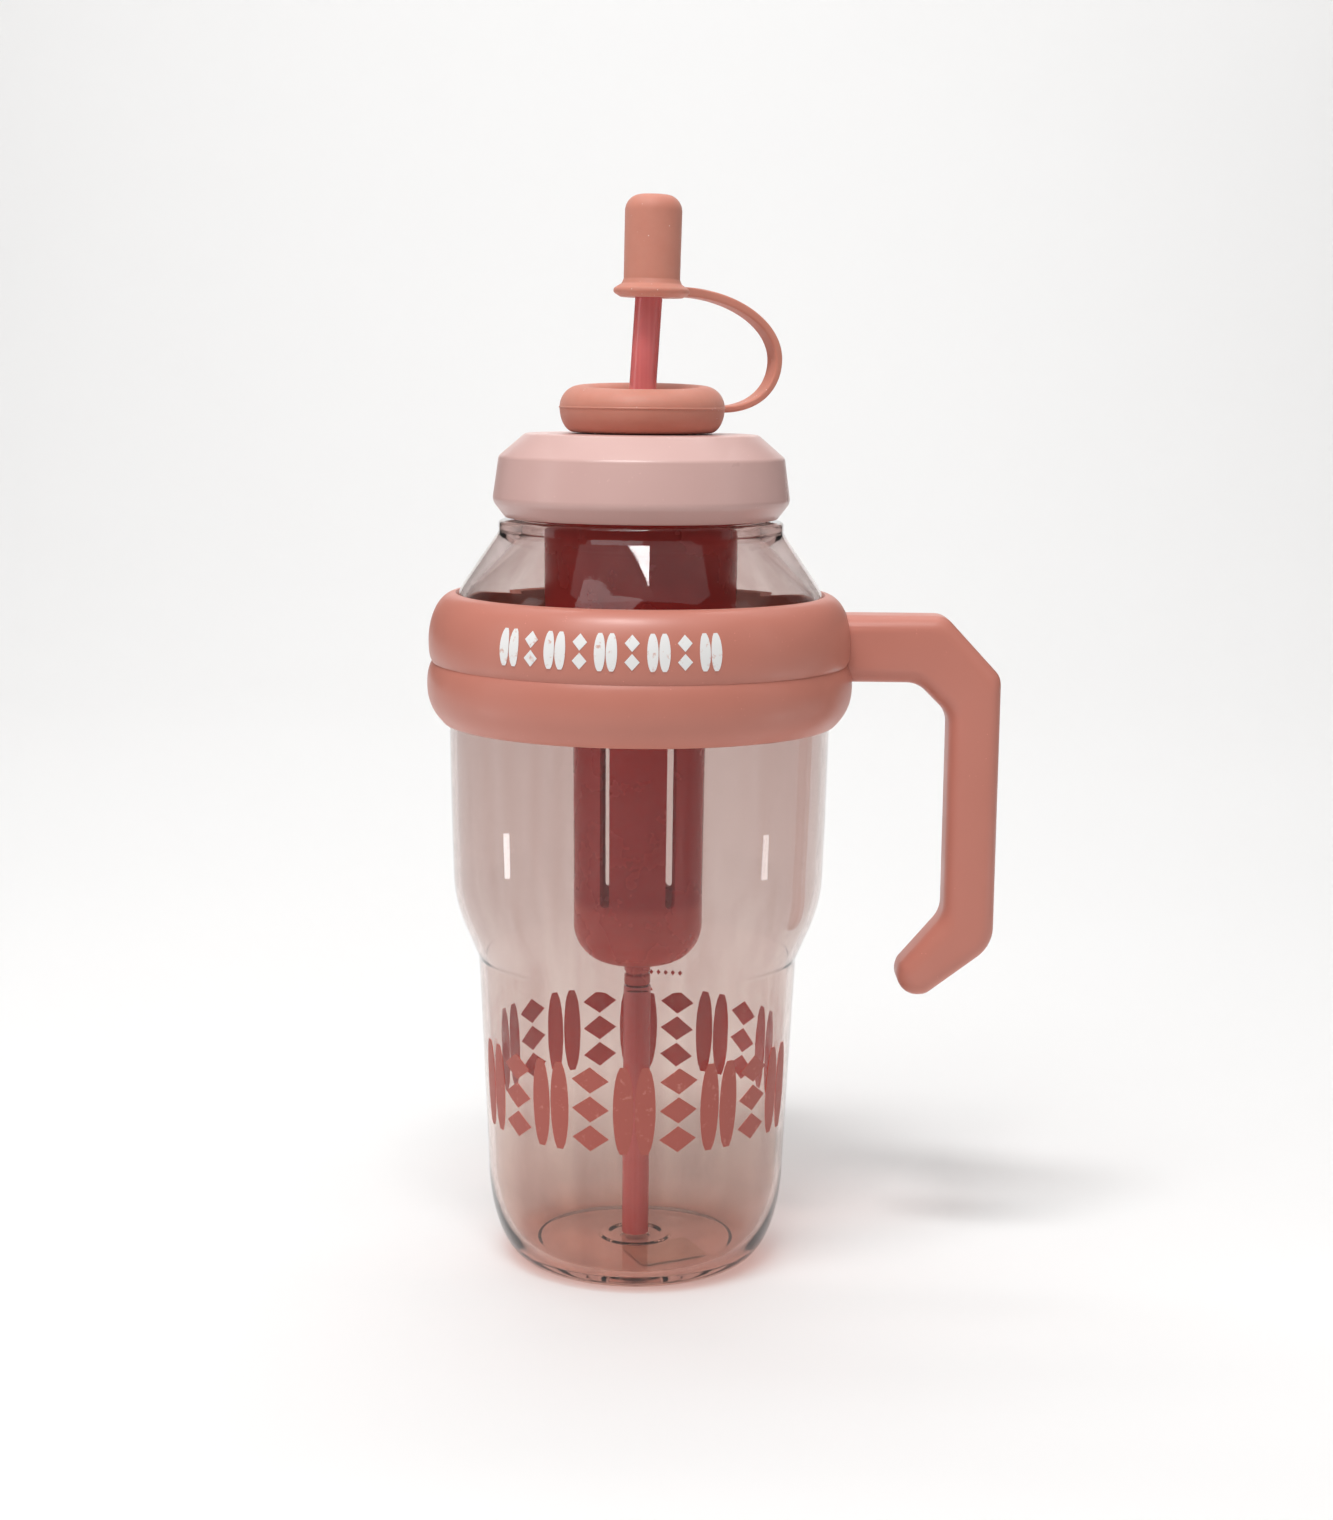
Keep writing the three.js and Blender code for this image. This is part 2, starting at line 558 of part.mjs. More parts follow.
// One bar with round ends, right through the tube, cuts two opposite slots.
function slotPair(degrees) {
  const r = SLOT_W / 2;
  const outline = new THREE.Shape();
  outline.absarc(0, DOME_Z + r, r, Math.PI, 2 * Math.PI);
  outline.absarc(0, SLOT_TOP - r, r, 0, Math.PI);
  outline.closePath();
  const geometry = new THREE.ExtrudeGeometry(outline, {
    depth: 3 * TUBE_R, bevelEnabled: false, curveSegments: 4,
  });
  geometry.translate(0, 0, -1.5 * TUBE_R);
  geometry.rotateX(Math.PI / 2);
  geometry.rotateZ(THREE.MathUtils.degToRad(degrees + 90));
  return solid(geometry);
}

// ---- assembly ----------------------------------------------------------------------------
const tumbler = new THREE.Group();
const gasketTop = LINER_TOP - LINER_PLATE - GAP;
const gasket = flatRing(GASKET_IN, LINER_IN - GAP, gasketTop - GASKET_T, gasketTop, BIG_SIDES);
const dipStraw = flatRing(STRAW_BORE, DIP_R, DIP_BOTTOM, SPIGOT_BOTTOM - GAP, STRAW_SIDES);
const cap = namedMesh('straw_cap', strawCap(), SILICONE);
cap.position.set(CAP_X, 0, CAP_BOTTOM);
cap.rotation.y = CAP_TILT;

tumbler.add(
  namedMesh('bottle_body', bottleBody(), CLEAR),
  namedMesh('handle_band', bandRing().add(handleBar()), SALMON),
  namedMesh('lid_shell', lidShell(), PALE_PINK),
  namedMesh('lid_liner', lidLiner(), PALE_PINK),
  namedMesh('lid_gasket', gasket, SEAL),
  namedMesh('straw_grommet', strawGrommet(), SEAL),
  namedMesh('tether_ring', tetherRing(), SILICONE),
  namedMesh('tether_strap', tetherStrap(), SILICONE),
  cap,
  namedMesh('drinking_straw', drinkingStraw(), STRAW_PINK),
  namedMesh('dip_straw', dipStraw, STRAW_PINK),
  namedMesh('infuser_basket', infuserBasket(), ROSE),
);

export default tumbler;
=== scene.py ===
"""Looks of the clear drinking tumbler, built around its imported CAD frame.

Metres, in the frame of the part: origin on the bottle's axis in the plane of the foot ring,
+Z up, +X towards the handle, -Y towards the viewer. Shapes are drawn in millimetres (MM).
"""

import math

import bmesh
import bpy
from mathutils import Matrix, Vector


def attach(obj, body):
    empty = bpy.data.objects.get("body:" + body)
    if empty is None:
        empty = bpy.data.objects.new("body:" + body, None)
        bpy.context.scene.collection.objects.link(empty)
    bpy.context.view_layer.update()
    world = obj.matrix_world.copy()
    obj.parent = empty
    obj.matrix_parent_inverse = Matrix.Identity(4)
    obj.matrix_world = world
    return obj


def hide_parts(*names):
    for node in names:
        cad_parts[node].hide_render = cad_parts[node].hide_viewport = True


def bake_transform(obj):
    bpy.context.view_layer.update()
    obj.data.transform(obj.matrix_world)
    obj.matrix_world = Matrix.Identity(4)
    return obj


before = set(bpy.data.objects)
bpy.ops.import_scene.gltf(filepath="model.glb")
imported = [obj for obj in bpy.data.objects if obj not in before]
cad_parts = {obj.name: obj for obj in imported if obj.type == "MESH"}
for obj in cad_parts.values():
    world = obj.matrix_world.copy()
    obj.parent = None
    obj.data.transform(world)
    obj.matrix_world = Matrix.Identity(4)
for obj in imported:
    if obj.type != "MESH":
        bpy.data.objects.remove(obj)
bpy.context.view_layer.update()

MM = 0.001
ROUND = 160  # facets round the bottle, band and lid
RING_SIDES = 128
INFUSER_SIDES = 120
SMALL = 72  # facets round the straws, the cap and the straw seal
THREAD_SIDES = 96  # steps of a screw thread in one turn
CORNER_POINTS = 8  # points of a rounded corner of a cross-section
TAU = 2 * math.pi


# ---- outlines --------------------------------------------------------------------------
def arc_corner(before, corner, after, radius, steps):
    """Points of the arc that rounds a corner of an outline."""
    to_before = (before - corner).normalized()
    to_after = (after - corner).normalized()
    half = to_before.angle(to_after) / 2
    nearly_straight = half > math.radians(89)
    if nearly_straight:
        return [corner]
    back = radius / math.tan(half)
    back = min(back, (before - corner).length * 0.49, (after - corner).length * 0.49)
    middle = corner + (to_before + to_after).normalized() * (back / math.cos(half))
    start, end = corner + to_before * back, corner + to_after * back
    points = []
    for i in range(steps + 1):
        point = start.lerp(end, i / steps)
        r = (start - middle).length
        points.append(middle + (point - middle).normalized() * r)
    return points


def rounded(corners, steps=5):
    """An open outline from (r, z) or (r, z, rounding) corners, in millimetres."""
    flat = [Vector(c[:2]) for c in corners]
    points = []
    for i, corner in enumerate(corners):
        if len(corner) == 3 and 0 < i < len(corners) - 1:
            points += arc_corner(flat[i - 1], flat[i], flat[i + 1], corner[2], steps)
        else:
            points.append(flat[i])
    return [tuple(p) for p in points]


def bezier(p0, p1, p2, p3, steps=12):
    """Points along a cubic curve, from p0 to p3."""
    points = []
    for i in range(steps + 1):
        t = i / steps
        a, b, c, d = (1 - t) ** 3, 3 * t * (1 - t) ** 2, 3 * t * t * (1 - t), t ** 3
        points.append(tuple(a * w + b * x + c * y + d * z for w, x, y, z in zip(p0, p1, p2, p3)))
    return points


def ellipse(centre, radii, start, end, steps=14):
    """Points along an ellipse from one angle to another, in degrees from +r towards +z."""
    points = []
    for i in range(steps + 1):
        a = math.radians(start + (end - start) * i / steps)
        points.append((centre[0] + radii[0] * math.cos(a), centre[1] + radii[1] * math.sin(a)))
    return points


# ---- meshes ----------------------------------------------------------------------------
def object_of(name, vertices, faces, crease=35):
    """A smooth-shaded object with sharp edges past the crease angle, faces pointing out."""
    mesh = bpy.data.meshes.new(name)
    mesh.from_pydata(vertices, [], faces)
    bm = bmesh.new()
    bm.from_mesh(mesh)
    bmesh.ops.remove_doubles(bm, verts=bm.verts, dist=1e-6)
    bmesh.ops.recalc_face_normals(bm, faces=bm.faces)
    bm.to_mesh(mesh)
    bm.free()
    shade(mesh, crease)
    obj = bpy.data.objects.new(name, mesh)
    bpy.context.scene.collection.objects.link(obj)
    return obj


def shade(mesh, crease=35):
    mesh.shade_smooth()
    mesh.set_sharp_from_angle(angle=math.radians(crease))


def lathe(name, outline, sides=ROUND, crease=35):
    """A solid of revolution from an outline of (r, z) in millimetres, closed back to its start."""
    vertices, rings = [], []
    for r, z in outline:
        if r < 1e-6:
            rings.append([len(vertices)] * sides)
            vertices.append((0, 0, z * MM))
            continue
        rings.append(list(range(len(vertices), len(vertices) + sides)))
        for k in range(sides):
            a = TAU * k / sides
            vertices.append((r * MM * math.cos(a), r * MM * math.sin(a), z * MM))
    faces = []
    for low, high in zip(rings, rings[1:] + rings[:1]):
        if low[0] == low[1] and high[0] == high[1]:
            continue
        for k in range(sides):
            n = (k + 1) % sides
            face = [low[k], low[n], high[n], high[k]]
            faces.append(list(dict.fromkeys(face)))
    return object_of(name, vertices, faces, crease)


def helix_ridge(name, root, crest, low, lead, start, end):
    """A screw thread ridge from one turn to another; its root sinks into the wall."""
    section = [(root, -1.0), (crest, -0.4), (crest, 0.4), (root, 1.0)]
    steps = int((end - start) * THREAD_SIDES)
    vertices, faces = [], []
    for i in range(steps + 1):
        turn = start + (end - start) * i / steps
        fade = min(1, i / 8, (steps - i) / 8) * 0.98 + 0.02  # the ridge runs out at its ends
        a = TAU * turn
        for r, dz in section:
            reach = root + (r - root) * fade
            z = low + lead * turn + dz
            vertices.append((reach * MM * math.cos(a), reach * MM * math.sin(a), z * MM))
    for i in range(steps):
        for j in range(4):
            a, b = 4 * i + j, 4 * i + (j + 1) % 4
            faces.append((a, b, b + 4, a + 4))
    faces += [(3, 2, 1, 0), tuple(4 * steps + j for j in range(4))]
    return object_of(name, vertices, faces)


def combine(obj, other, operation, crease=35):
    """Joins or cuts obj with other, which is used up."""
    modifier = obj.modifiers.new("combine", "BOOLEAN")
    modifier.operation = operation
    modifier.solver = "EXACT"
    modifier.object = other
    graph = bpy.context.evaluated_depsgraph_get()
    mesh = bpy.data.meshes.new_from_object(obj.evaluated_get(graph))
    obj.modifiers.clear()
    obj.data = mesh
    bpy.data.objects.remove(other)
    shade(mesh, crease)
    return obj


# ---- materials -------------------------------------------------------------------------
class Paint:
    """A Principled material and short calls for the nodes that give it detail."""

    def __init__(self, name):
        self.material = bpy.data.materials.new(name)
        self.material.use_nodes = True
        self.tree = self.material.node_tree
        self.shader = self.tree.nodes["Principled BSDF"]
        self.output = self.tree.nodes["Material Output"]
        self.place = self.tree.nodes.new("ShaderNodeTexCoord").outputs["Object"]

    def node(self, kind, **inputs):
        made = self.tree.nodes.new(kind)
        for key, value in inputs.items():
            name = key.replace("_", " ")
            if isinstance(value, bpy.types.NodeSocket):
                self.tree.links.new(value, made.inputs[name])
            else:
                made.inputs[name].default_value = value
        return made

    def set(self, **inputs):
        for key, value in inputs.items():
            name = key.replace("_", " ")
            if isinstance(value, bpy.types.NodeSocket):
                self.tree.links.new(value, self.shader.inputs[name])
            else:
                self.shader.inputs[name].default_value = value
        return self

    def stretched(self, x, y, z):
        mapping = self.tree.nodes.new("ShaderNodeMapping")
        mapping.inputs["Scale"].default_value = (x, y, z)
        self.tree.links.new(self.place, mapping.inputs["Vector"])
        return mapping.outputs["Vector"]

    def noise(self, scale, detail=3, rough=0.5, at=None):
        made = self.node("ShaderNodeTexNoise", Vector=at or self.place, Scale=scale,
                         Detail=detail, Roughness=rough)
        return made.outputs["Fac"]

    def ramp(self, value, *stops):
        """Colours or grey levels at positions from 0 to 1."""
        made = self.tree.nodes.new("ShaderNodeValToRGB")
        self.tree.links.new(value, made.inputs["Fac"])
        elements = made.color_ramp.elements
        while len(elements) < len(stops):
            elements.new(0.5)
        for element, (position, colour) in zip(elements, stops):
            element.position = position
            element.color = (*colour, 1) if isinstance(colour, tuple) else (colour,) * 3 + (1,)
        return made.outputs["Color"]

    def range(self, value, low, high, to_low, to_high):
        made = self.node("ShaderNodeMapRange", Value=value, From_Min=low, From_Max=high,
                         To_Min=to_low, To_Max=to_high)
        return made.outputs["Result"]

    def mix(self, factor, a, b):
        made = self.tree.nodes.new("ShaderNodeMix")
        made.data_type = "RGBA"
        sockets = (made.inputs[0], made.inputs[6], made.inputs[7])
        for socket, value in zip(sockets, (factor, a, b)):
            if isinstance(value, bpy.types.NodeSocket):
                self.tree.links.new(value, socket)
            else:
                socket.default_value = (*value, 1) if isinstance(value, tuple) else value
        return made.outputs[2]

    def bump(self, height, strength, distance, normal=None):
        made = self.node("ShaderNodeBump", Height=height, Strength=strength, Distance=distance)
        if normal is not None:
            self.tree.links.new(normal, made.inputs["Normal"])
        return made.outputs["Normal"]

    def height(self):
        """Height over the foot ring, in metres."""
        return self.node("ShaderNodeSeparateXYZ", Vector=self.place).outputs["Z"]


def specks(paint, base, dust, scale, amount):
    """base with small dust specks of another colour."""
    cells = paint.node("ShaderNodeTexVoronoi", Vector=paint.place, Scale=scale)
    near = paint.ramp(cells.outputs["Distance"], (amount, 1.0), (amount * 1.6, 0.0))
    sparse = paint.ramp(paint.noise(scale * 0.21, 1), (0.56, 0.0), (0.62, 1.0))
    both = paint.node("ShaderNodeMath", Value=near)
    both.operation = "MULTIPLY"
    paint.tree.links.new(sparse, both.inputs[1])
    return paint.mix(both.outputs[0], base, dust)


def clear_plastic():
    """Polished clear plastic with a faint rosy smoke, pinker at the base and dark rose under the lid;
    the base's pink is partly its own tint and partly painted light of a warm surface seen through it,
    the dark rose is painted shade of the lid, and a paler neck is painted sheen.
    """
    p = Paint("clear_rose_plastic")
    # Tint by height, 0 at the foot ring and 1 at 0.21 m. Pinker base (0 to 0.03): own tint plus
    # painted light of a warm surface seen through it. Paler shoulder and neck (0.84 to 0.92): painted
    # sheen. Dark rose from 0.94, just under the lid: painted shade.
    tint = p.ramp(p.range(p.height(), 0.0, 0.21, 0, 1),
                  (0.0, (0.82, 0.59, 0.49)),
                  (0.03, (0.82, 0.67, 0.61)),
                  (0.2, (0.86, 0.78, 0.74)),
                  (0.48, (0.78, 0.695, 0.67)),
                  (0.78, (0.74, 0.645, 0.62)),
                  (0.84, (0.88, 0.82, 0.80)),
                  (0.92, (0.92, 0.87, 0.86)),
                  (0.94, (0.50, 0.33, 0.30)))
    # Faint vertical bands of darker tint: painted reflection of the surroundings in the wall.
    drawn = p.noise(95, 3, 0.5, p.stretched(1, 1, 0.05))
    tint = p.mix(p.range(drawn, 0.42, 0.70, 0, 0.6), tint, (0.65, 0.51, 0.48))
    scratches = p.noise(260, 4, 0.6, p.stretched(1, 1, 0.05))
    smudges = p.noise(34, 4, 0.55)
    p.set(Base_Color=tint, Transmission_Weight=1.0, IOR=1.23,
          Coat_Weight=0.4, Coat_Roughness=0.02,
          Coat_Normal=p.bump(p.noise(110, 3), 0.016, 0.002),
          Roughness=p.range(smudges, 0.45, 0.8, 0.0, 0.05),
          Normal=p.bump(scratches, 0.03, 0.0002, p.bump(smudges, 0.02, 0.0006)))
    let_light_in(p, (0.92, 0.84, 0.82))
    depth = p.node("ShaderNodeVolumeAbsorption", Color=(0.80, 0.62, 0.58, 1), Density=45.0)
    p.tree.links.new(depth.outputs[0], p.output.inputs["Volume"])
    return p.material


def let_light_in(p, tint):
    """Lamps and bounced light pass the wall straight, so that what is inside is lit."""
    path = p.tree.nodes.new("ShaderNodeLightPath")
    either = p.tree.nodes.new("ShaderNodeMath")
    either.operation = "MAXIMUM"
    p.tree.links.new(path.outputs["Is Shadow Ray"], either.inputs[0])
    p.tree.links.new(path.outputs["Is Diffuse Ray"], either.inputs[1])
    through = p.node("ShaderNodeBsdfTransparent", Color=(*tint, 1))
    both = p.node("ShaderNodeMixShader", Fac=either.outputs[0])
    p.tree.links.new(p.shader.outputs[0], both.inputs[1])
    p.tree.links.new(through.outputs[0], both.inputs[2])
    p.tree.links.new(both.outputs[0], p.output.inputs["Surface"])


def satin_plastic(name, colour, shade_colour, rough, grain=0.05, coat=0.0):
    """Moulded plastic with a fine eroded grain, faint flow variation and dust."""
    p = Paint(name)
    flow = p.noise(22, 3, 0.6)
    base = p.mix(p.range(flow, 0.3, 0.7, 0, 1), colour, shade_colour)
    base = specks(p, base, tuple(min(1, c * 1.35 + 0.08) for c in colour), 900, 0.06)
    fine = p.noise(2600, 2)
    p.set(Base_Color=base, Roughness=p.range(p.noise(60, 4), 0.3, 0.7, rough - 0.06, rough + 0.07),
          Coat_Weight=coat, Coat_Roughness=0.25, Specular_IOR_Level=0.45,
          Normal=p.bump(fine, grain, 0.0001, p.bump(flow, 0.03, 0.001)))
    return p.material


def silicone(name, colour, shade_colour):
    """Matt silicone: soft sheen, faint mottling, and dust that clings to it."""
    p = Paint(name)
    mottle = p.noise(90, 4, 0.6)
    base = p.mix(p.range(mottle, 0.3, 0.7, 0, 1), colour, shade_colour)
    base = specks(p, base, (0.85, 0.72, 0.66), 700, 0.07)
    p.set(Base_Color=base, Roughness=p.range(mottle, 0.3, 0.7, 0.52, 0.66),
          Subsurface_Weight=0.2, Subsurface_Scale=0.003, Sheen_Weight=0.12, Sheen_Roughness=0.5,
          Normal=p.bump(p.noise(1500, 3), 0.08, 0.0001, p.bump(mottle, 0.05, 0.0006)))
    p.shader.inputs["Subsurface Radius"].default_value = (1.0, 0.35, 0.25)
    return p.material


def straw_plastic(name, colour, shade_colour):
    """Glossy translucent straw with faint extrusion lines along it."""
    p = Paint(name)
    lines = p.noise(900, 2, 0.5, p.stretched(1, 1, 0.01))
    base = p.mix(p.range(lines, 0.3, 0.7, 0, 1), colour, shade_colour)
    p.set(Base_Color=base, Roughness=p.range(p.noise(120, 3), 0.3, 0.7, 0.14, 0.26),
          Subsurface_Weight=0.25, Subsurface_Scale=0.003, Coat_Weight=0.4, Coat_Roughness=0.08,
          Normal=p.bump(lines, 0.06, 0.0001))
    return p.material


def infuser_plastic():
    """Translucent rose plastic, paler at its dome and spigot as painted light of the bright floor
    seen through them, with drawn lines on its sides.
    """
    p = Paint("rose_infuser_plastic")
    cloud = p.noise(60, 4, 0.6)
    drawn = p.noise(500, 3, 0.6, p.stretched(1, 1, 0.06))
    # Paler from the dome down (below 0.29): painted light of the bright floor seen through it.
    by_height = p.ramp(p.range(p.height(), 0.06, 0.19, 0, 1),
                       (0.14, (0.95, 0.22, 0.19)),
                       (0.16, (0.80, 0.17, 0.14)),
                       (0.27, (0.70, 0.125, 0.105)),
                       (0.29, (0.53, 0.045, 0.042)),
                       (0.75, (0.53, 0.045, 0.042)),
                       (0.88, (0.74, 0.075, 0.065)))
    base = p.mix(p.range(cloud, 0.35, 0.75, 0, 0.2), by_height, (0.48, 0.07, 0.065))
    p.set(Base_Color=base, Transmission_Weight=0.3, IOR=1.4, Specular_IOR_Level=0.3,
          Roughness=p.range(cloud, 0.3, 0.7, 0.2, 0.32),
          Normal=p.bump(drawn, 0.08, 0.0002))
    let_light_in(p, (0.45, 0.16, 0.15))
    return p.material


def ink(name, colour, worn):
    """Screen-printed ink: flat, slightly rough, with pinholes where it has worn."""
    p = Paint(name)
    wear = p.noise(420, 5, 0.7)
    base = p.mix(p.range(wear, 0.58, 0.68, 0, 1), colour, worn)
    p.set(Base_Color=base, Roughness=p.range(wear, 0.3, 0.7, 0.38, 0.6),
          Normal=p.bump(wear, 0.1, 0.0001))
    return p.material


CLEAR = clear_plastic()
SALMON = satin_plastic("salmon_satin_plastic", (0.60, 0.225, 0.17), (0.565, 0.205, 0.152), 0.36)
PEARL = satin_plastic("pearl_pink_plastic", (0.70, 0.455, 0.42), (0.665, 0.42, 0.385), 0.33,
                      grain=0.03, coat=0.15)
SOFT = silicone("salmon_silicone", (0.62, 0.25, 0.18), (0.575, 0.22, 0.155))
SEAL = silicone("milky_silicone", (0.78, 0.72, 0.68), (0.7, 0.64, 0.6))
STRAW = straw_plastic("pink_straw_plastic", (0.80, 0.20, 0.195), (0.74, 0.165, 0.16))
ROSE = infuser_plastic()
ROSE_INK = ink("rose_ink", (0.43, 0.10, 0.075), (0.55, 0.19, 0.155))
DEEP_INK = ink("deep_rose_ink", (0.95, 0.055, 0.03), (0.95, 0.16, 0.11))
PAPER = ink("label_paper", (0.70, 0.68, 0.60), (0.60, 0.56, 0.47))
WHITE_INK = ink("white_ink", (0.88, 0.87, 0.86), (0.72, 0.45, 0.38))


def finish_piece(obj, material, body, slot, *nodes):
    """Paints a piece, hangs it on the empty of the body it rides on, and hides the CAD nodes it
    stands for.
    """
    obj.data.materials.clear()
    obj.data.materials.append(material)
    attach(obj, body)
    if nodes:
        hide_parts(*nodes)


# ---- bottle ----------------------------------------------------------------------------
# Places are (r, z): the distance from the bottle's axis and the height over the foot ring.
WALL = 1.8
BASE_Z = 1  # underside of the base, inside the foot ring
FLOOR_Z = 3.2  # inside floor
FOOT_IN, FOOT_OUT = 27, 29  # flat of the foot ring
HEEL_Z, HEEL_R = 26, 39.5  # top of the heel, a quarter ellipse
WAIST = (42.1, 81.8)
WAIST_ROUND = 2.4
FLARE_START = (WAIST[0] + 2.4, WAIST[1] + 5.8)
FLARE_LOW, FLARE_HIGH = (46.6, 92.2), (48.3, 96.5)  # handles of the flare's curve
BELLY = (48.7, 103)
CHEST_FOOT = (49.15, 118)
CHEST_R = 49.7
CHEST_Z = 160  # start of the shoulder
SHOULDER = (45.5, 181)
LEDGE_R, LEDGE_Z = 36.9, 196.6
NECK_OUT, NECK_IN, RIM_Z = 32.7, 30.9, 206.5
THREAD_Z, THREAD_LEAD, THREAD_TURNS = 198.6, 4, 1.25
THREAD_SINK, THREAD_HIGH = 0.4, 1.2  # how far a thread reaches into its wall and out of it
LABEL_HALF = (9.5, 7.5)
LABEL_ROUND = 1.2
LABEL_PLACE = (8, -11)
LABEL_TURN = math.radians(24)


def inset(place, down=0):
    """A place on the outside moved in by the wall."""
    return place[0] - WALL, place[1] - down


def bottle_outside():
    gate = [(0, 1.4), (3.2, 1.4, 0.3), (4.2, BASE_Z, 0.4)]  # shallow dimple in the middle
    foot = rounded(gate + [(FOOT_IN - 1, BASE_Z, 0.4), (FOOT_IN, 0, 0.4), (FOOT_OUT, 0)], 3)
    heel = ellipse((FOOT_OUT, HEEL_Z), (HEEL_R - FOOT_OUT, HEEL_Z), -90, 0, 28)[1:]
    above_waist = (WAIST[0] + 3.3, WAIST[1] + 8)
    waist = rounded([heel[-1], (*WAIST, WAIST_ROUND), above_waist], 6)[1:-1]
    flare = bezier(FLARE_START, FLARE_LOW, FLARE_HIGH, BELLY, 16)
    chest = [CHEST_FOOT, (CHEST_R, CHEST_Z - 15), (CHEST_R, CHEST_Z)]
    shoulder = bezier(chest[-1], (CHEST_R, 169.9), (48.3, 176.9), SHOULDER, 14)[1:]
    neck = rounded([SHOULDER, (37.6, 192.6, 1.6), (LEDGE_R, 193.8, 0.6), (LEDGE_R, LEDGE_Z, 0.9),
                    (NECK_OUT, LEDGE_Z, 0.4), (NECK_OUT, RIM_Z, 0.5), (NECK_IN, RIM_Z)], 5)[1:]
    return foot + heel + waist + flare + chest + shoulder + neck


def bottle_inside():
    knee = inset(SHOULDER, 1.2)
    shoulder = rounded([(NECK_IN, RIM_Z), (NECK_IN, LEDGE_Z - 3, 2), knee], 5)[1:-1]
    side = CHEST_R - WALL
    chest = bezier(knee, (46.5, 175.6), (side, 169), (side, CHEST_Z), 14)
    chest += [(side, CHEST_Z - 15), inset(CHEST_FOOT)]
    flare = bezier(inset(BELLY), inset(FLARE_HIGH), inset(FLARE_LOW), inset(FLARE_START), 16)
    waist = rounded([flare[-1], (*inset(WAIST), WAIST_ROUND), (HEEL_R - WALL, HEEL_Z)], 6)[1:-1]
    heel = ellipse((FOOT_IN, HEEL_Z), (HEEL_R - WALL - FOOT_IN, HEEL_Z - FLOOR_Z), 0, -90, 28)
    # A low ring stands on the floor round the foot of the lower straw.
    ring = [(10.2, FLOOR_Z, 0.8), (9.2, 3.75, 0.5), (7.4, 3.75, 0.5), (6.4, FLOOR_Z, 0.8)]
    floor = rounded([heel[-1]] + ring + [(0, FLOOR_Z)], 4)[1:]
    return shoulder + chest + flare + waist + heel + floor


def make_bottle():
    bottle = lathe("clear_bottle", bottle_outside() + bottle_inside(), crease=40)
    thread = helix_ridge("thread", NECK_OUT - THREAD_SINK, NECK_OUT + THREAD_HIGH, THREAD_Z,
                         THREAD_LEAD, 0, THREAD_TURNS)
    combine(bottle, thread, "UNION", 40)
    finish_piece(bottle, CLEAR, "bottle", "clear_body", "bottle_body")


def make_label():
    """A blank paper sticker in the recess under the base."""
    outline = rounded_section(*LABEL_HALF, LABEL_ROUND)
    levels = (BASE_Z - 0.16, BASE_Z - 0.06)
    sections = [[(u * MM, v * MM, z * MM) for u, v in outline] for z in levels]
    label = loft("base_label", sections, 35)
    place = Matrix.Translation((LABEL_PLACE[0] * MM, LABEL_PLACE[1] * MM, 0))
    label.data.transform(place @ Matrix.Rotation(LABEL_TURN, 4, "Z"))
    label.data.materials.append(PAPER)
    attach(label, "bottle")


# ---- band and handle -------------------------------------------------------------------
LIP = (48.0, 177.9)
UPPER_BEAD = (55.0, 165.5)
GROOVE = (54.1, 160.2)
LOWER_BEAD = (55.4, 154.6)
BAND_FOOT = (51.3, 144.5)
BAND_BORE = 50.1
HANDLE_HALF = 8.0  # half of the handle's width along Y
HANDLE_ROUND = 4.6
HANDLE_ROOT_X = 51  # the arm starts inside the band's wall
ARM_TOP, ARM_UNDER = 173, 155.5
GRIP_OUT, GRIP_IN = 94, 80.6
TIP_REACH = 5.1  # how far the blunt tip bulges past the ends of the rails
TIP_NARROWS = 4.2


def band_outline():
    crown = (UPPER_BEAD[0] - LIP[0], LIP[1] - UPPER_BEAD[1])
    upper = ellipse((LIP[0], UPPER_BEAD[1]), crown, 90, 0, 24)
    groove = bezier(UPPER_BEAD, (55.0, 163.2), (54.8, 161.3), GROOVE, 8)[1:]
    lower = bezier(GROOVE, (55.0, 159.0), (55.4, 156.4), LOWER_BEAD, 8)[1:]
    foot = bezier(LOWER_BEAD, (55.4, 149.6), (53.8, 147.1), BAND_FOOT, 18)[1:]
    inside = [(50.9, BAND_FOOT[1]), (BAND_BORE, 145), (BAND_BORE, 159)]
    lip = bezier(inside[-1], (BAND_BORE, 168), (49.2, 174.2), (47.55, 177.3), 12)[1:]
    return upper + groove + lower + foot + inside + lip


def rounded_section(half_long, half_wide, corner):
    """Points (along, across) of a rectangle with round corners, about its middle."""
    points = []
    for k, (sx, sy) in enumerate(((1, 1), (-1, 1), (-1, -1), (1, -1))):
        for i in range(CORNER_POINTS):
            a = math.radians(90 * k + 90 * i / (CORNER_POINTS - 1))
            points.append((sx * (half_long - corner) + corner * math.cos(a),
                           sy * (half_wide - corner) + corner * math.sin(a)))
    return points


def loft(name, sections, crease=50):
    """A closed skin through sections, lists of points that go round alike."""
    count = len(sections[0])
    vertices = [p for section in sections for p in section]
    faces = [tuple(range(count)), tuple(range(len(vertices) - count, len(vertices)))]
    for i in range(len(sections) - 1):
        for j in range(count):
            a, b = count * i + j, count * i + (j + 1) % count
            faces.append((a, b, b + count, a + count))
    return object_of(name, vertices, faces, crease)


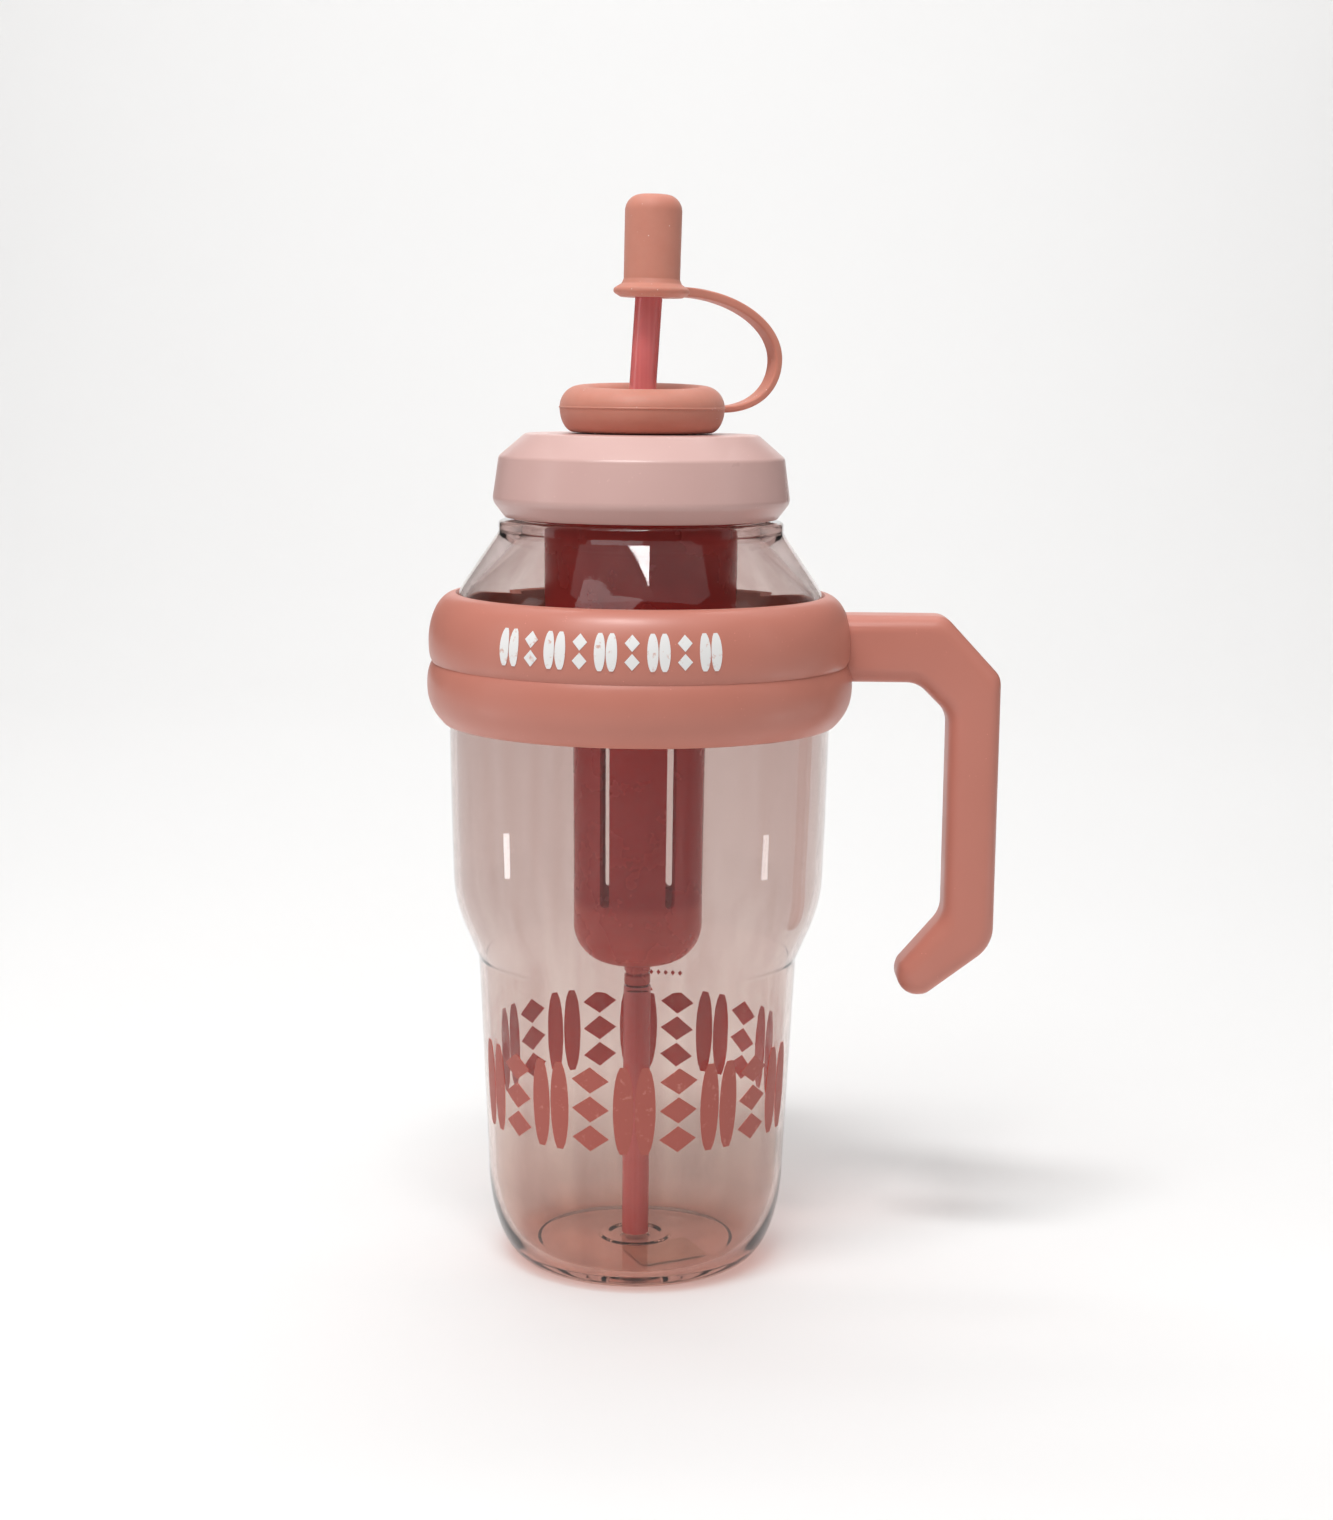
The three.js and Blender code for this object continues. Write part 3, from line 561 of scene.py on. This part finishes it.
def handle_stations():
    """Cross-sections of the handle: a point on its outer rail, one on its inner, a half width."""
    outer = rounded([(HANDLE_ROOT_X, ARM_TOP), (79.1, ARM_TOP, 5.5), (GRIP_OUT, 157.1, 5),
                     (GRIP_OUT, 85.6, 10), (77.65, 73.2)], 7)
    inner = rounded([(HANDLE_ROOT_X, ARM_UNDER), (72.2, ARM_UNDER, 7), (GRIP_IN, 147.2, 7),
                     (GRIP_IN, 93.6, 8), (70.4, 81.6)], 7)
    stations = [(Vector(o), Vector(i), HANDLE_HALF) for o, i in zip(outer, inner)]
    out_end, in_end, _ = stations[-1]
    middle, half = (out_end + in_end) / 2, (out_end - in_end) / 2
    ahead = Vector((half.y, -half.x)).normalized()
    ahead = -ahead if ahead.x > 0 else ahead
    for k in range(1, 9):
        a = math.radians(k * 10.6)
        at = middle + ahead * TIP_REACH * math.sin(a)
        wide = HANDLE_HALF - TIP_NARROWS * (1 - math.cos(a))
        stations.append((at + half * math.cos(a), at - half * math.cos(a), wide))
    return stations


def handle_bar():
    """A bar between an outer and an inner rail in the XZ plane, ending in a blunt round tip."""
    sections = []
    for o, i, wide in handle_stations():
        centre, reach = (o + i) / 2, (o - i) / 2
        corner = min(HANDLE_ROUND, reach.length * 0.98, wide * 0.98)
        along = reach.normalized()
        sections.append([((centre.x + along.x * u) * MM, v * MM, (centre.y + along.y * u) * MM)
                         for u, v in rounded_section(reach.length, wide, corner)])
    return loft("handle_bar", sections)


def make_band():
    band = lathe("band_and_handle", band_outline(), crease=50)
    combine(band, handle_bar(), "UNION", 50)
    finish_piece(band, SALMON, "band", "band_plastic", "handle_band")


# ---- lid -------------------------------------------------------------------------------
LID_TOP = 218.8
LID_PLATE = 217.4  # underside of the lid's top
LID_BOTTOM = 197.3
LID_HOLE = 12.5
SKIRT_R = 34.3  # inside of the shell's foot
SHELL_IN = 35.5
CUP_R, CUP_IN = 35.2, 34.2  # threaded cup inside the shell
CUP_TOP, CUP_PLATE, CUP_FOOT = 211.8, 210.4, 200.5
BOSS_R, BOSS_IN, BOSS_HOLE = 12.2, 9.8, 6.5
BOSS_TOP, BOSS_PLATE = 226, 224.5
SEAL_BORE, SEAL_WAIST, SEAL_FLANGE = 3.8, 6.2, 8.4


def make_lid():
    outside = rounded([(LID_HOLE, LID_PLATE), (LID_HOLE, LID_TOP, 0.3), (30, LID_TOP, 2.0),
                       (36.9, 212.9, 1.6), (38.5, 201.6, 3.2), (35.2, LID_BOTTOM, 1.2),
                       (SKIRT_R, LID_BOTTOM)], 7)
    inside = rounded([(SKIRT_R, LID_BOTTOM), (SKIRT_R, 199.1, 0.3), (SHELL_IN, 200.1, 0.3),
                      (SHELL_IN, 212.3, 0.5), (29.4, LID_PLATE, 0.5), (LID_HOLE, LID_PLATE)], 3)
    shell = lathe("lid_top", outside + inside[1:-1], crease=50)
    finish_piece(shell, PEARL, "lid", "lid_plastic", "lid_shell")
    cup = lathe("lid_cup", rounded([
        (CUP_R, CUP_FOOT), (CUP_R, CUP_TOP, 0.4), (BOSS_R, CUP_TOP, 0.6), (BOSS_R, BOSS_TOP, 0.5),
        (BOSS_HOLE, BOSS_TOP, 0.3), (BOSS_HOLE, BOSS_PLATE, 0.3), (BOSS_IN, BOSS_PLATE, 0.3),
        (BOSS_IN, CUP_PLATE, 0.3), (CUP_IN, CUP_PLATE, 0.5), (CUP_IN, CUP_FOOT)], 3))
    thread = helix_ridge("cup_thread", CUP_IN + THREAD_SINK, CUP_IN - THREAD_HIGH,
                         THREAD_Z + THREAD_LEAD / 2, THREAD_LEAD, 0.25, THREAD_TURNS)
    combine(cup, thread, "UNION")
    finish_piece(cup, PEARL, "lid", "lid_plastic", "lid_liner")
    low, high = BOSS_PLATE - 0.3, BOSS_TOP + 0.3
    seal = lathe("straw_seal", rounded([
        (SEAL_BORE, low - 1.5), (SEAL_FLANGE, low - 1.5, 0.3), (SEAL_FLANGE, low, 0.3),
        (SEAL_WAIST, low, 0.2), (SEAL_WAIST, high, 0.2), (SEAL_FLANGE + 0.1, high, 0.2),
        (7.9, high + 1.5, 0.5), (4.2, high + 1.5, 0.3), (SEAL_BORE, high + 0.3)], 3), SMALL)
    finish_piece(seal, SEAL, "lid", "seal_silicone", "straw_grommet")


# ---- silicone ring, strap and cap --------------------------------------------------------
RING_BOTTOM, RING_MID, RING_TOP = 219.1, 225.5, 231  # RING_MID is the parting line
RING_R, RING_HOLE = 21.25, 12.6
RING_BASE_R, RING_CROWN_R = 17.4, 16  # where the rounded side meets the underside and the crown
RING_SAG = 0.05  # how much the soft crown sags for each step towards the front
CAP_PLACE = (2.1, 253.3)  # middle of the cap's foot in the XZ plane
CAP_TOP = 279
CAP_R, CAP_FLANGE_R, CAP_BORE = 7.3, 9.75, 4.4
CAP_ROUND = 4.2
CAP_TILT = math.radians(1.0)
STRAP_TURN = math.radians(26)  # towards +X, turned to the back
STRAP_REACH = (38.5, 238)  # furthest point of the strap's middle line


def make_ring():
    sides = (RING_R - RING_BASE_R, RING_MID - RING_BOTTOM)
    lower = ellipse((RING_BASE_R, RING_MID), sides, -90, -3, 14)
    flash = [(RING_R, RING_MID - 0.24), (RING_R + 0.21, RING_MID - 0.08),
             (RING_R + 0.21, RING_MID + 0.06), (RING_R, RING_MID + 0.22)]
    sides = (RING_R - RING_CROWN_R, RING_TOP - RING_MID)
    upper = ellipse((RING_CROWN_R, RING_MID), sides, 4, 90, 16)
    crown = ellipse((RING_CROWN_R, RING_TOP - 3), (RING_CROWN_R - RING_HOLE, 3), 90, 180, 12)[1:]
    outline = [(RING_HOLE, RING_BOTTOM)] + lower + flash + upper + crown
    ring = lathe("silicone_ring", outline, RING_SIDES, 55)
    for vertex in ring.data.vertices:
        above = max(0, vertex.co.z / MM - RING_MID) / (RING_TOP - RING_MID)
        vertex.co.z += RING_SAG * above * vertex.co.y
    finish_piece(ring, SOFT, "straw_set", "salmon_silicone", "tether_ring")


def make_cap():
    height = CAP_TOP - CAP_PLACE[1]
    round_z = height - CAP_ROUND
    skirt = rounded([(CAP_BORE, 0.3), (4.8, 0, 0.2), (8.0, 0, 0.8), (CAP_FLANGE_R, 1.1, 0.8),
                     (CAP_FLANGE_R, 2.1, 0.9), (7.7, 3.4, 1.0), (7.2, 4.6, 1.0), (CAP_R, round_z)], 6)
    dome = ellipse((CAP_R - CAP_ROUND, round_z), (CAP_ROUND, CAP_ROUND), 0, 90, 12)[1:]
    bore = rounded([(0, height), (0, height - 3.5), (2.9, height - 3.5, 0.8),
                    (CAP_BORE, height - 5, 0.8), (CAP_BORE, 0.3)], 4)
    cap = lathe("silicone_cap", skirt + dome + bore[:-1], SMALL, 50)
    tilt = Matrix.Rotation(CAP_TILT, 4, "Y")
    cap.data.transform(Matrix.Translation((CAP_PLACE[0] * MM, 0, CAP_PLACE[1] * MM)) @ tilt)
    finish_piece(cap, SOFT, "cap", "salmon_silicone", "straw_cap")


def make_strap():
    """A flat strap from the ring, out and back to the cap's flange, thicker at the cap."""
    lower = bezier((20.6, 225.2), (32, 224.6), (STRAP_REACH[0], 230.5), STRAP_REACH, 26)
    upper = bezier(STRAP_REACH, (STRAP_REACH[0], 247.5), (25, 254.9), (10.2, 254.9), 30)[1:]
    line = [Vector(p) for p in lower + upper]
    sections = []
    for k, at in enumerate(line):
        ahead = (line[min(k + 1, len(line) - 1)] - line[max(k - 1, 0)]).normalized()
        across = Vector((-ahead.y, ahead.x))
        share = k / (len(line) - 1)
        near_end = max(0, 1 - share * 14) + max(0, (share - 0.9) * 10)
        section = []
        for u, v in rounded_section(0.85 + 0.35 * share, 2.7 + 0.5 * near_end, 0.6):
            r, z = at.x + across.x * u, at.y + across.y * u
            section.append(((r * math.cos(STRAP_TURN) - v * math.sin(STRAP_TURN)) * MM,
                            (r * math.sin(STRAP_TURN) + v * math.cos(STRAP_TURN)) * MM, z * MM))
        sections.append(section)
    strap = loft("silicone_strap", sections, 60)
    strap.data.materials.append(SOFT)
    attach(strap, "straw_set")
    strap.parent = None
    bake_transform(strap)
    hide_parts("tether_strap")


# ---- straws ----------------------------------------------------------------------------
STRAW_R, DIP_R, STRAW_BORE = 3.5, 3.6, 3.0
STRAW_LOW, STRAW_TOP = 84.4, 272.5  # ends of the upper straw
DIP_LOW, DIP_TOP = 3.9, 73.2  # ends of the lower straw
BEND_START, BEND_END = 224, 234  # the upper straw leans from here up
LEAN = math.tan(math.radians(3.4))


def straw_offset(z):
    """How far the upper straw's middle line is from the bottle's axis at a height."""
    bend = max(0, min(z, BEND_END) - BEND_START)
    return bend * bend * LEAN / (2 * (BEND_END - BEND_START)) + max(0, z - BEND_END) * LEAN


def tube(name, heights, outer, inner, offset=lambda z: 0.0):
    """A tube through heights along Z, its middle line pushed along X by offset."""
    rings = [(outer, z) for z in heights] + [(inner, z) for z in reversed(heights)]
    vertices, faces = [], []
    for r, z in rings:
        for k in range(SMALL):
            a = TAU * k / SMALL
            vertices.append(((offset(z) + r * math.cos(a)) * MM, r * MM * math.sin(a), z * MM))
    for i in range(len(rings)):
        low, high = SMALL * i, SMALL * ((i + 1) % len(rings))
        for k in range(SMALL):
            n = (k + 1) % SMALL
            faces.append((low + k, low + n, high + n, high + k))
    return object_of(name, vertices, faces)


def make_straws():
    heights = [STRAW_LOW, 150] + list(range(BEND_START, BEND_END + 1)) + [250, STRAW_TOP]
    upper = tube("upper_straw", heights, STRAW_R, STRAW_BORE, straw_offset)
    finish_piece(upper, STRAW, "straw_set", "straw_plastic", "drinking_straw")
    lower = tube("lower_straw", [DIP_LOW, 40, DIP_TOP], DIP_R, STRAW_BORE)
    finish_piece(lower, STRAW, "straw_set", "straw_plastic", "dip_straw")


# ---- infuser ---------------------------------------------------------------------------
INFUSER_WALL = 1.4
NOZZLE_BORE, NOZZLE_R, NOZZLE_BOTTOM = 1.6, 2.6, 64
SPIGOT_R, SPIGOT_BOTTOM = 3.45, 73.5
DOME_FLAT_R, DOME_BOTTOM, DOME_ROUND = 7, 80, 10
DOME_R, DOME_TOP = 17.0, 97
TUBE_R, TUBE_TOP = 17.6, 164
FUNNEL_R, FUNNEL_TOP = 25, 174
COLLAR_R, COLLAR_Z = 30.6, 196.5
FLANGE_R, FLANGE_Z, FLANGE_TOP = 32.7, 206.8, 208.3
SOCKET_R, SOCKET_BORE, SOCKET_TOP, SOCKET_SEAT = 5.2, 3.8, 93, 84
SLOT_BOTTOM, SLOT_TOP, SLOT_HALF = 97, 154, 1.4
SLOT_PAIRS = 3


def slot_cutter(turn):
    """A bar with round ends across the tube, which cuts two opposite slots."""
    outline = []
    for z, start in ((SLOT_TOP - SLOT_HALF, 0), (SLOT_BOTTOM + SLOT_HALF, 180)):
        outline += ellipse((0, z), (SLOT_HALF, SLOT_HALF), start, start + 180, 10)
    sections = [[(x * MM, u * MM, z * MM) for u, z in outline] for x in (-30, 30)]
    cutter = loft("cutter", sections, 35)
    cutter.data.transform(Matrix.Rotation(turn, 4, "Z"))
    return cutter


def infuser_outside():
    spigot = rounded([
        (NOZZLE_BORE, 64.3), (1.9, NOZZLE_BOTTOM, 0.1), (2.5, NOZZLE_BOTTOM, 0.3),
        (NOZZLE_R, SPIGOT_BOTTOM, 0.2), (SPIGOT_R, 73.7, 0.5), (SPIGOT_R, 76.2, 0.6),
        (2.8, 76.8, 0.4), (SPIGOT_R, 77.4, 0.6), (3.5, 79.6, 0.5), (4.4, DOME_BOTTOM, 0.6),
        (DOME_FLAT_R, DOME_BOTTOM)], 4)
    middle = (DOME_FLAT_R, DOME_BOTTOM + DOME_ROUND)
    dome = ellipse(middle, (DOME_R - DOME_FLAT_R, DOME_ROUND), -90, 0, 18)[1:]
    side = [(DOME_R, DOME_TOP), (17.55, 162)]
    funnel = bezier((TUBE_R, TUBE_TOP), (TUBE_R, 168), (FUNNEL_R, 168.1), (FUNNEL_R, FUNNEL_TOP), 16)
    return spigot + dome + side + funnel[:-1]


def infuser_inside():
    w = INFUSER_WALL
    collar = rounded([
        (FUNNEL_R, FUNNEL_TOP), (FUNNEL_R, COLLAR_Z, 0.8), (COLLAR_R, COLLAR_Z, 0.7),
        (COLLAR_R, FLANGE_Z, 0.3), (FLANGE_R, FLANGE_Z, 0.4), (FLANGE_R, FLANGE_TOP, 0.4),
        (COLLAR_R - w, FLANGE_TOP, 0.4), (COLLAR_R - w, COLLAR_Z + w, 0.6),
        (FUNNEL_R - w, COLLAR_Z + w, 0.8), (FUNNEL_R - w, FUNNEL_TOP + 0.3)], 4)[1:]
    funnel = bezier(collar[-1], (FUNNEL_R - w, 169.1), (TUBE_R - w, 169.1),
                    (TUBE_R - w, TUBE_TOP), 14)[1:]
    middle = (DOME_FLAT_R, DOME_BOTTOM + DOME_ROUND)
    dome = ellipse(middle, (DOME_R - DOME_FLAT_R - w, DOME_ROUND - w), 0, -90, 14)
    socket = rounded([
        (DOME_FLAT_R, DOME_BOTTOM + w), (SOCKET_R, DOME_BOTTOM + w, 0.5), (SOCKET_R, SOCKET_TOP, 0.4),
        (SOCKET_BORE, SOCKET_TOP, 0.3), (SOCKET_BORE, SOCKET_SEAT, 0.2),
        (NOZZLE_BORE, SOCKET_SEAT, 0.2), (NOZZLE_BORE, 64.3)], 3)[1:-1]
    return collar + funnel + [(DOME_R - w, DOME_TOP)] + dome + socket


def make_infuser():
    infuser = lathe("infuser", infuser_outside() + infuser_inside(), INFUSER_SIDES, 40)
    for k in range(SLOT_PAIRS):
        cutter = slot_cutter(k * math.pi / SLOT_PAIRS)
        combine(infuser, cutter, "DIFFERENCE", 40)
    finish_piece(infuser, ROSE, "straw_set", "infuser_plastic", "infuser_basket")


# ---- printed ornament ------------------------------------------------------------------
# Each mark is a function from the unit square to (u, v) in millimetres: u round the surface
# and v up it, both from the middle of the border that the mark is in.
PRINT_Z, DOTS_Z, BAND_PRINT_Z = 50.5, 66.6, 168.2  # middles of the borders
BAND_PRINT_TURN = math.radians(8)  # the band's border stands a little to the left
PRINT_LAYER = (0.08, 0.05)  # how far the ink lies off the wall, and its thickness
PRIMER_LAYER = (0.03, 0.04)


def lens_mark(u, v, wide, high):
    """A slim leaf with round ends."""
    def at(s, t):
        width = wide * math.sin(math.pi * (0.02 + 0.96 * t)) ** 0.4
        return u + (s - 0.5) * width, v + (t - 0.5) * high
    return at


def lozenge_mark(u, v, wide, high):
    """A diamond on its point."""
    def at(s, t):
        return u + (s - t) * wide / 2, v + (s + t - 1) * high / 2
    return at


def border(name, marks, surface, material, body, slot, low=0.03, thick=0.09, fine=14):
    """Marks laid as thin solids, low over a turned surface and thick, in millimetres.

    surface(u, v) gives a point's angle, radius and z, and the (r, z) direction out of it.
    """
    vertices, faces = [], []
    side = fine + 1
    for mark in marks:
        first = len(vertices)
        for lift in (low, low + thick):
            for i in range(side):
                for j in range(side):
                    angle, r, z, out_r, out_z = surface(*mark(i / fine, j / fine))
                    r, z = r + lift * out_r, z + lift * out_z
                    vertices.append((r * MM * math.cos(angle), r * MM * math.sin(angle), z * MM))
        layer = side * side
        for i in range(fine):
            for j in range(fine):
                a = first + side * i + j
                faces.append((a, a + 1, a + side + 1, a + side))
                faces.append((a + layer, a + side + layer, a + side + 1 + layer, a + 1 + layer))
        rim = [side * i for i in range(side)]
        rim += [side * fine + j for j in range(1, side)]
        rim += [side * i + fine for i in range(fine - 1, -1, -1)]
        rim += list(range(fine - 1, 0, -1))
        for a, b in zip(rim, rim[1:] + rim[:1]):
            faces.append((first + a, first + b, first + b + layer, first + a + layer))
    finish_piece(object_of(name, vertices, faces, 30), material, body, slot)


def lower_body(turn, middle):
    """The slim lower body: u runs round it from the angle turn, v up from middle."""
    slope = (WAIST[0] - HEEL_R) / (WAIST[1] - HEEL_Z)
    mean_r = 41.0

    def surface(u, v):
        z = middle + v
        r = HEEL_R + (z - HEEL_Z) * slope
        return turn + u / mean_r, r, z, 1, 0
    return surface


def upper_bead(turn, middle):
    """The band's upper bead, an ellipse in section."""
    mean_r = 54
    wide, high = UPPER_BEAD[0] - LIP[0], LIP[1] - UPPER_BEAD[1]

    def surface(u, v):
        z = middle + v
        share = (z - UPPER_BEAD[1]) / high
        if share < 0:
            return turn + u / mean_r, UPPER_BEAD[0], z, 1, 0
        r = LIP[0] + wide * math.sqrt(1 - share * share)
        out = Vector(((r - LIP[0]) / wide ** 2, (z - UPPER_BEAD[1]) / high ** 2)).normalized()
        return turn + u / mean_r, r, z, out.x, out.y
    return surface


def leaf_pair(u, wide, high):
    """A leaf split along its vein."""
    return [lens_mark(u + side * wide * 0.255, 0, wide * 0.48, high) for side in (-1, 1)]


def lozenge_column(u, wide, high, count):
    """Lozenges one above another."""
    step = high / count
    return [lozenge_mark(u, (k - (count - 1) / 2) * step, wide, step * 0.9) for k in range(count)]


def ornament(pitch, count, tall, leaf_wide, column_wide, lozenges):
    """Leaf pairs and columns of lozenges by turns, one mark each pitch, about the middle."""
    marks = []
    for k in range(count):
        u = (k - (count - 1) / 2) * pitch
        if k % 2 == 0:
            marks += leaf_pair(u, leaf_wide, tall)
        else:
            marks += lozenge_column(u, column_wide, tall, lozenges)
    return marks


def make_prints():
    """The bottle's two borders, each a deep inner layer under its ink, and the band's border."""
    front, back = -math.pi / 2, math.pi / 2
    marks = ornament(pitch=11.4, count=9, tall=23.0, leaf_wide=11.0, column_wide=9.8, lozenges=3)
    paint = ("bottle", "infuser_plastic")
    for side, turn in (("front", front), ("back", back)):
        at = lower_body(turn, PRINT_Z)
        border(side + "_print", marks, at, ROSE_INK, *paint, *PRINT_LAYER)
        border(side + "_primer", marks, at, DEEP_INK, *paint, *PRIMER_LAYER)
    dots = [lozenge_mark(-3.5 - 2.1 * k, 0, 1.3, 1.6) for k in range(5)]
    border("back_dots", dots, lower_body(back, DOTS_Z), DEEP_INK, *paint, fine=4)
    marks = ornament(pitch=6.3, count=9, tall=9.0, leaf_wide=5.6, column_wide=3.6, lozenges=2)
    at = upper_bead(front - BAND_PRINT_TURN, BAND_PRINT_Z)
    border("band_print", marks, at, WHITE_INK, "band", "band_plastic")


make_bottle()
make_label()
make_band()
make_lid()
make_ring()
make_cap()
make_strap()
make_straws()
make_infuser()
make_prints()
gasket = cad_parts["lid_gasket"]
gasket.data.materials.clear()
gasket.data.materials.append(SEAL)


# ---- stage -----------------------------------------------------------------------------
# Sizes and places of the stage are in metres.
FLOOR_HALF = 3.0  # half width of the floor and the backdrop
BACK_Y, BACK_BEND, BACK_TOP = 1.1, 0.7, 3.0  # where the floor starts to rise, bend, height
CARD_X = 0.52
WORLD_STRENGTH = 0.12
CAMERA_PLACE = (0.0072, -0.620, 0.232)
CAMERA_LENS, CAMERA_SENSOR = 56.5, 36
CAMERA_TIP = math.radians(81)
CAMERA_ROLL = math.radians(0.6)
# name, place, target, (width, height), watts
LAMPS = (
    ("key", (-0.35, -0.75, 1.05), (0, 0, 0.15), (0.7, 0.5), 2.9),
    ("top", (-0.12, -0.42, 1.15), (0, 0, 0.12), (0.46, 0.13), 6.2),
    ("high", (0.0, -0.3, 1.3), (0, 0, 0.1), (1.5, 1.1), 4.8),
    ("side_left", (-1.1, -0.25, 0.5), (0, 0, 0.14), (0.25, 0.9), 1.0),
    ("side_right", (1.1, -0.35, 0.5), (0, 0, 0.14), (0.25, 0.9), 0.45),
    ("low_left", (-0.27, -0.05, 0.056), (0, 0, 0.1), (0.022, 0.022), 0.02),
    ("low_right", (0.27, -0.06, 0.056), (0, 0, 0.1), (0.022, 0.022), 0.014),
    ("backdrop", (0, 0.75, 1.6), (0, 1.7, 0.35), (2.4, 0.5), 20),
)


def make_stage():
    """A pale floor that curves up into a backdrop."""
    outline = [(-FLOOR_HALF, 0.0), (BACK_Y, 0.0)]
    for k in range(1, 16):
        a = math.radians(6 * k)
        outline.append((BACK_Y + BACK_BEND * math.sin(a), BACK_BEND - BACK_BEND * math.cos(a)))
    outline.append((BACK_Y + BACK_BEND, BACK_TOP))
    vertices, faces = [], []
    for y, z in outline:
        vertices += [(-FLOOR_HALF, y, z), (FLOOR_HALF, y, z)]
    for i in range(len(outline) - 1):
        faces.append((2 * i, 2 * i + 1, 2 * i + 3, 2 * i + 2))
    floor = object_of("floor", vertices, faces, 60)
    paint = Paint("pale_floor")
    tone = paint.mix(paint.noise(3, 2), (0.90, 0.895, 0.89), (0.92, 0.915, 0.91))
    paint.set(Base_Color=tone, Roughness=0.7)
    floor.data.materials.append(paint.material)
    floor.location.z = -0.0002


def make_cards():
    """Dark cards beside the backdrop, seen only in reflections, that draw the bottle's edges."""
    near, far, low, high = -0.02, 1.3, 0.1, 1.4
    paint = Paint("dark_card")
    tone = paint.mix(paint.noise(4, 2), (0.03, 0.025, 0.025), (0.04, 0.035, 0.035))
    paint.set(Base_Color=tone, Roughness=0.8)
    for x in (-CARD_X, CARD_X):
        corners = [(x, near, low), (x, far, low), (x, far, high), (x, near, high)]
        card = object_of("card", corners, [(0, 1, 2, 3)])
        card.data.materials.append(paint.material)
        card.visible_camera = False
        card.visible_diffuse = False
        card.visible_transmission = False
        card.visible_shadow = False


def area_light(name, place, target, size, power):
    """A rectangular lamp that lights the object but isn't seen itself or through the plastic."""
    light = bpy.data.lights.new(name, "AREA")
    light.shape = "RECTANGLE"
    light.size, light.size_y = size
    light.energy = power
    obj = bpy.data.objects.new(name, light)
    obj.location = place
    obj.rotation_euler = (Vector(target) - Vector(place)).to_track_quat("-Z", "Y").to_euler()
    obj.visible_camera = False
    obj.visible_transmission = False
    bpy.context.scene.collection.objects.link(obj)


def make_light():
    world = bpy.data.worlds.new("soft_world")
    world.use_nodes = True
    sky = world.node_tree.nodes["Background"]
    sky.inputs["Color"].default_value = (1, 0.99, 0.98, 1)
    sky.inputs["Strength"].default_value = WORLD_STRENGTH
    bpy.context.scene.world = world
    for lamp in LAMPS:
        area_light(*lamp)


def make_camera():
    """A view from a little above the object's middle, tipped down nine degrees."""
    data = bpy.data.cameras.new("camera")
    data.lens = CAMERA_LENS
    data.sensor_width = CAMERA_SENSOR
    camera = bpy.data.objects.new("camera", data)
    bpy.context.scene.collection.objects.link(camera)
    tip = Matrix.Rotation(CAMERA_TIP, 4, "X")
    roll = Matrix.Rotation(CAMERA_ROLL, 4, "Z")
    camera.matrix_world = Matrix.Translation(CAMERA_PLACE) @ tip @ roll
    bpy.context.scene.camera = camera


make_stage()
make_cards()
make_light()
make_camera()
bpy.context.scene.view_settings.view_transform = "Standard"
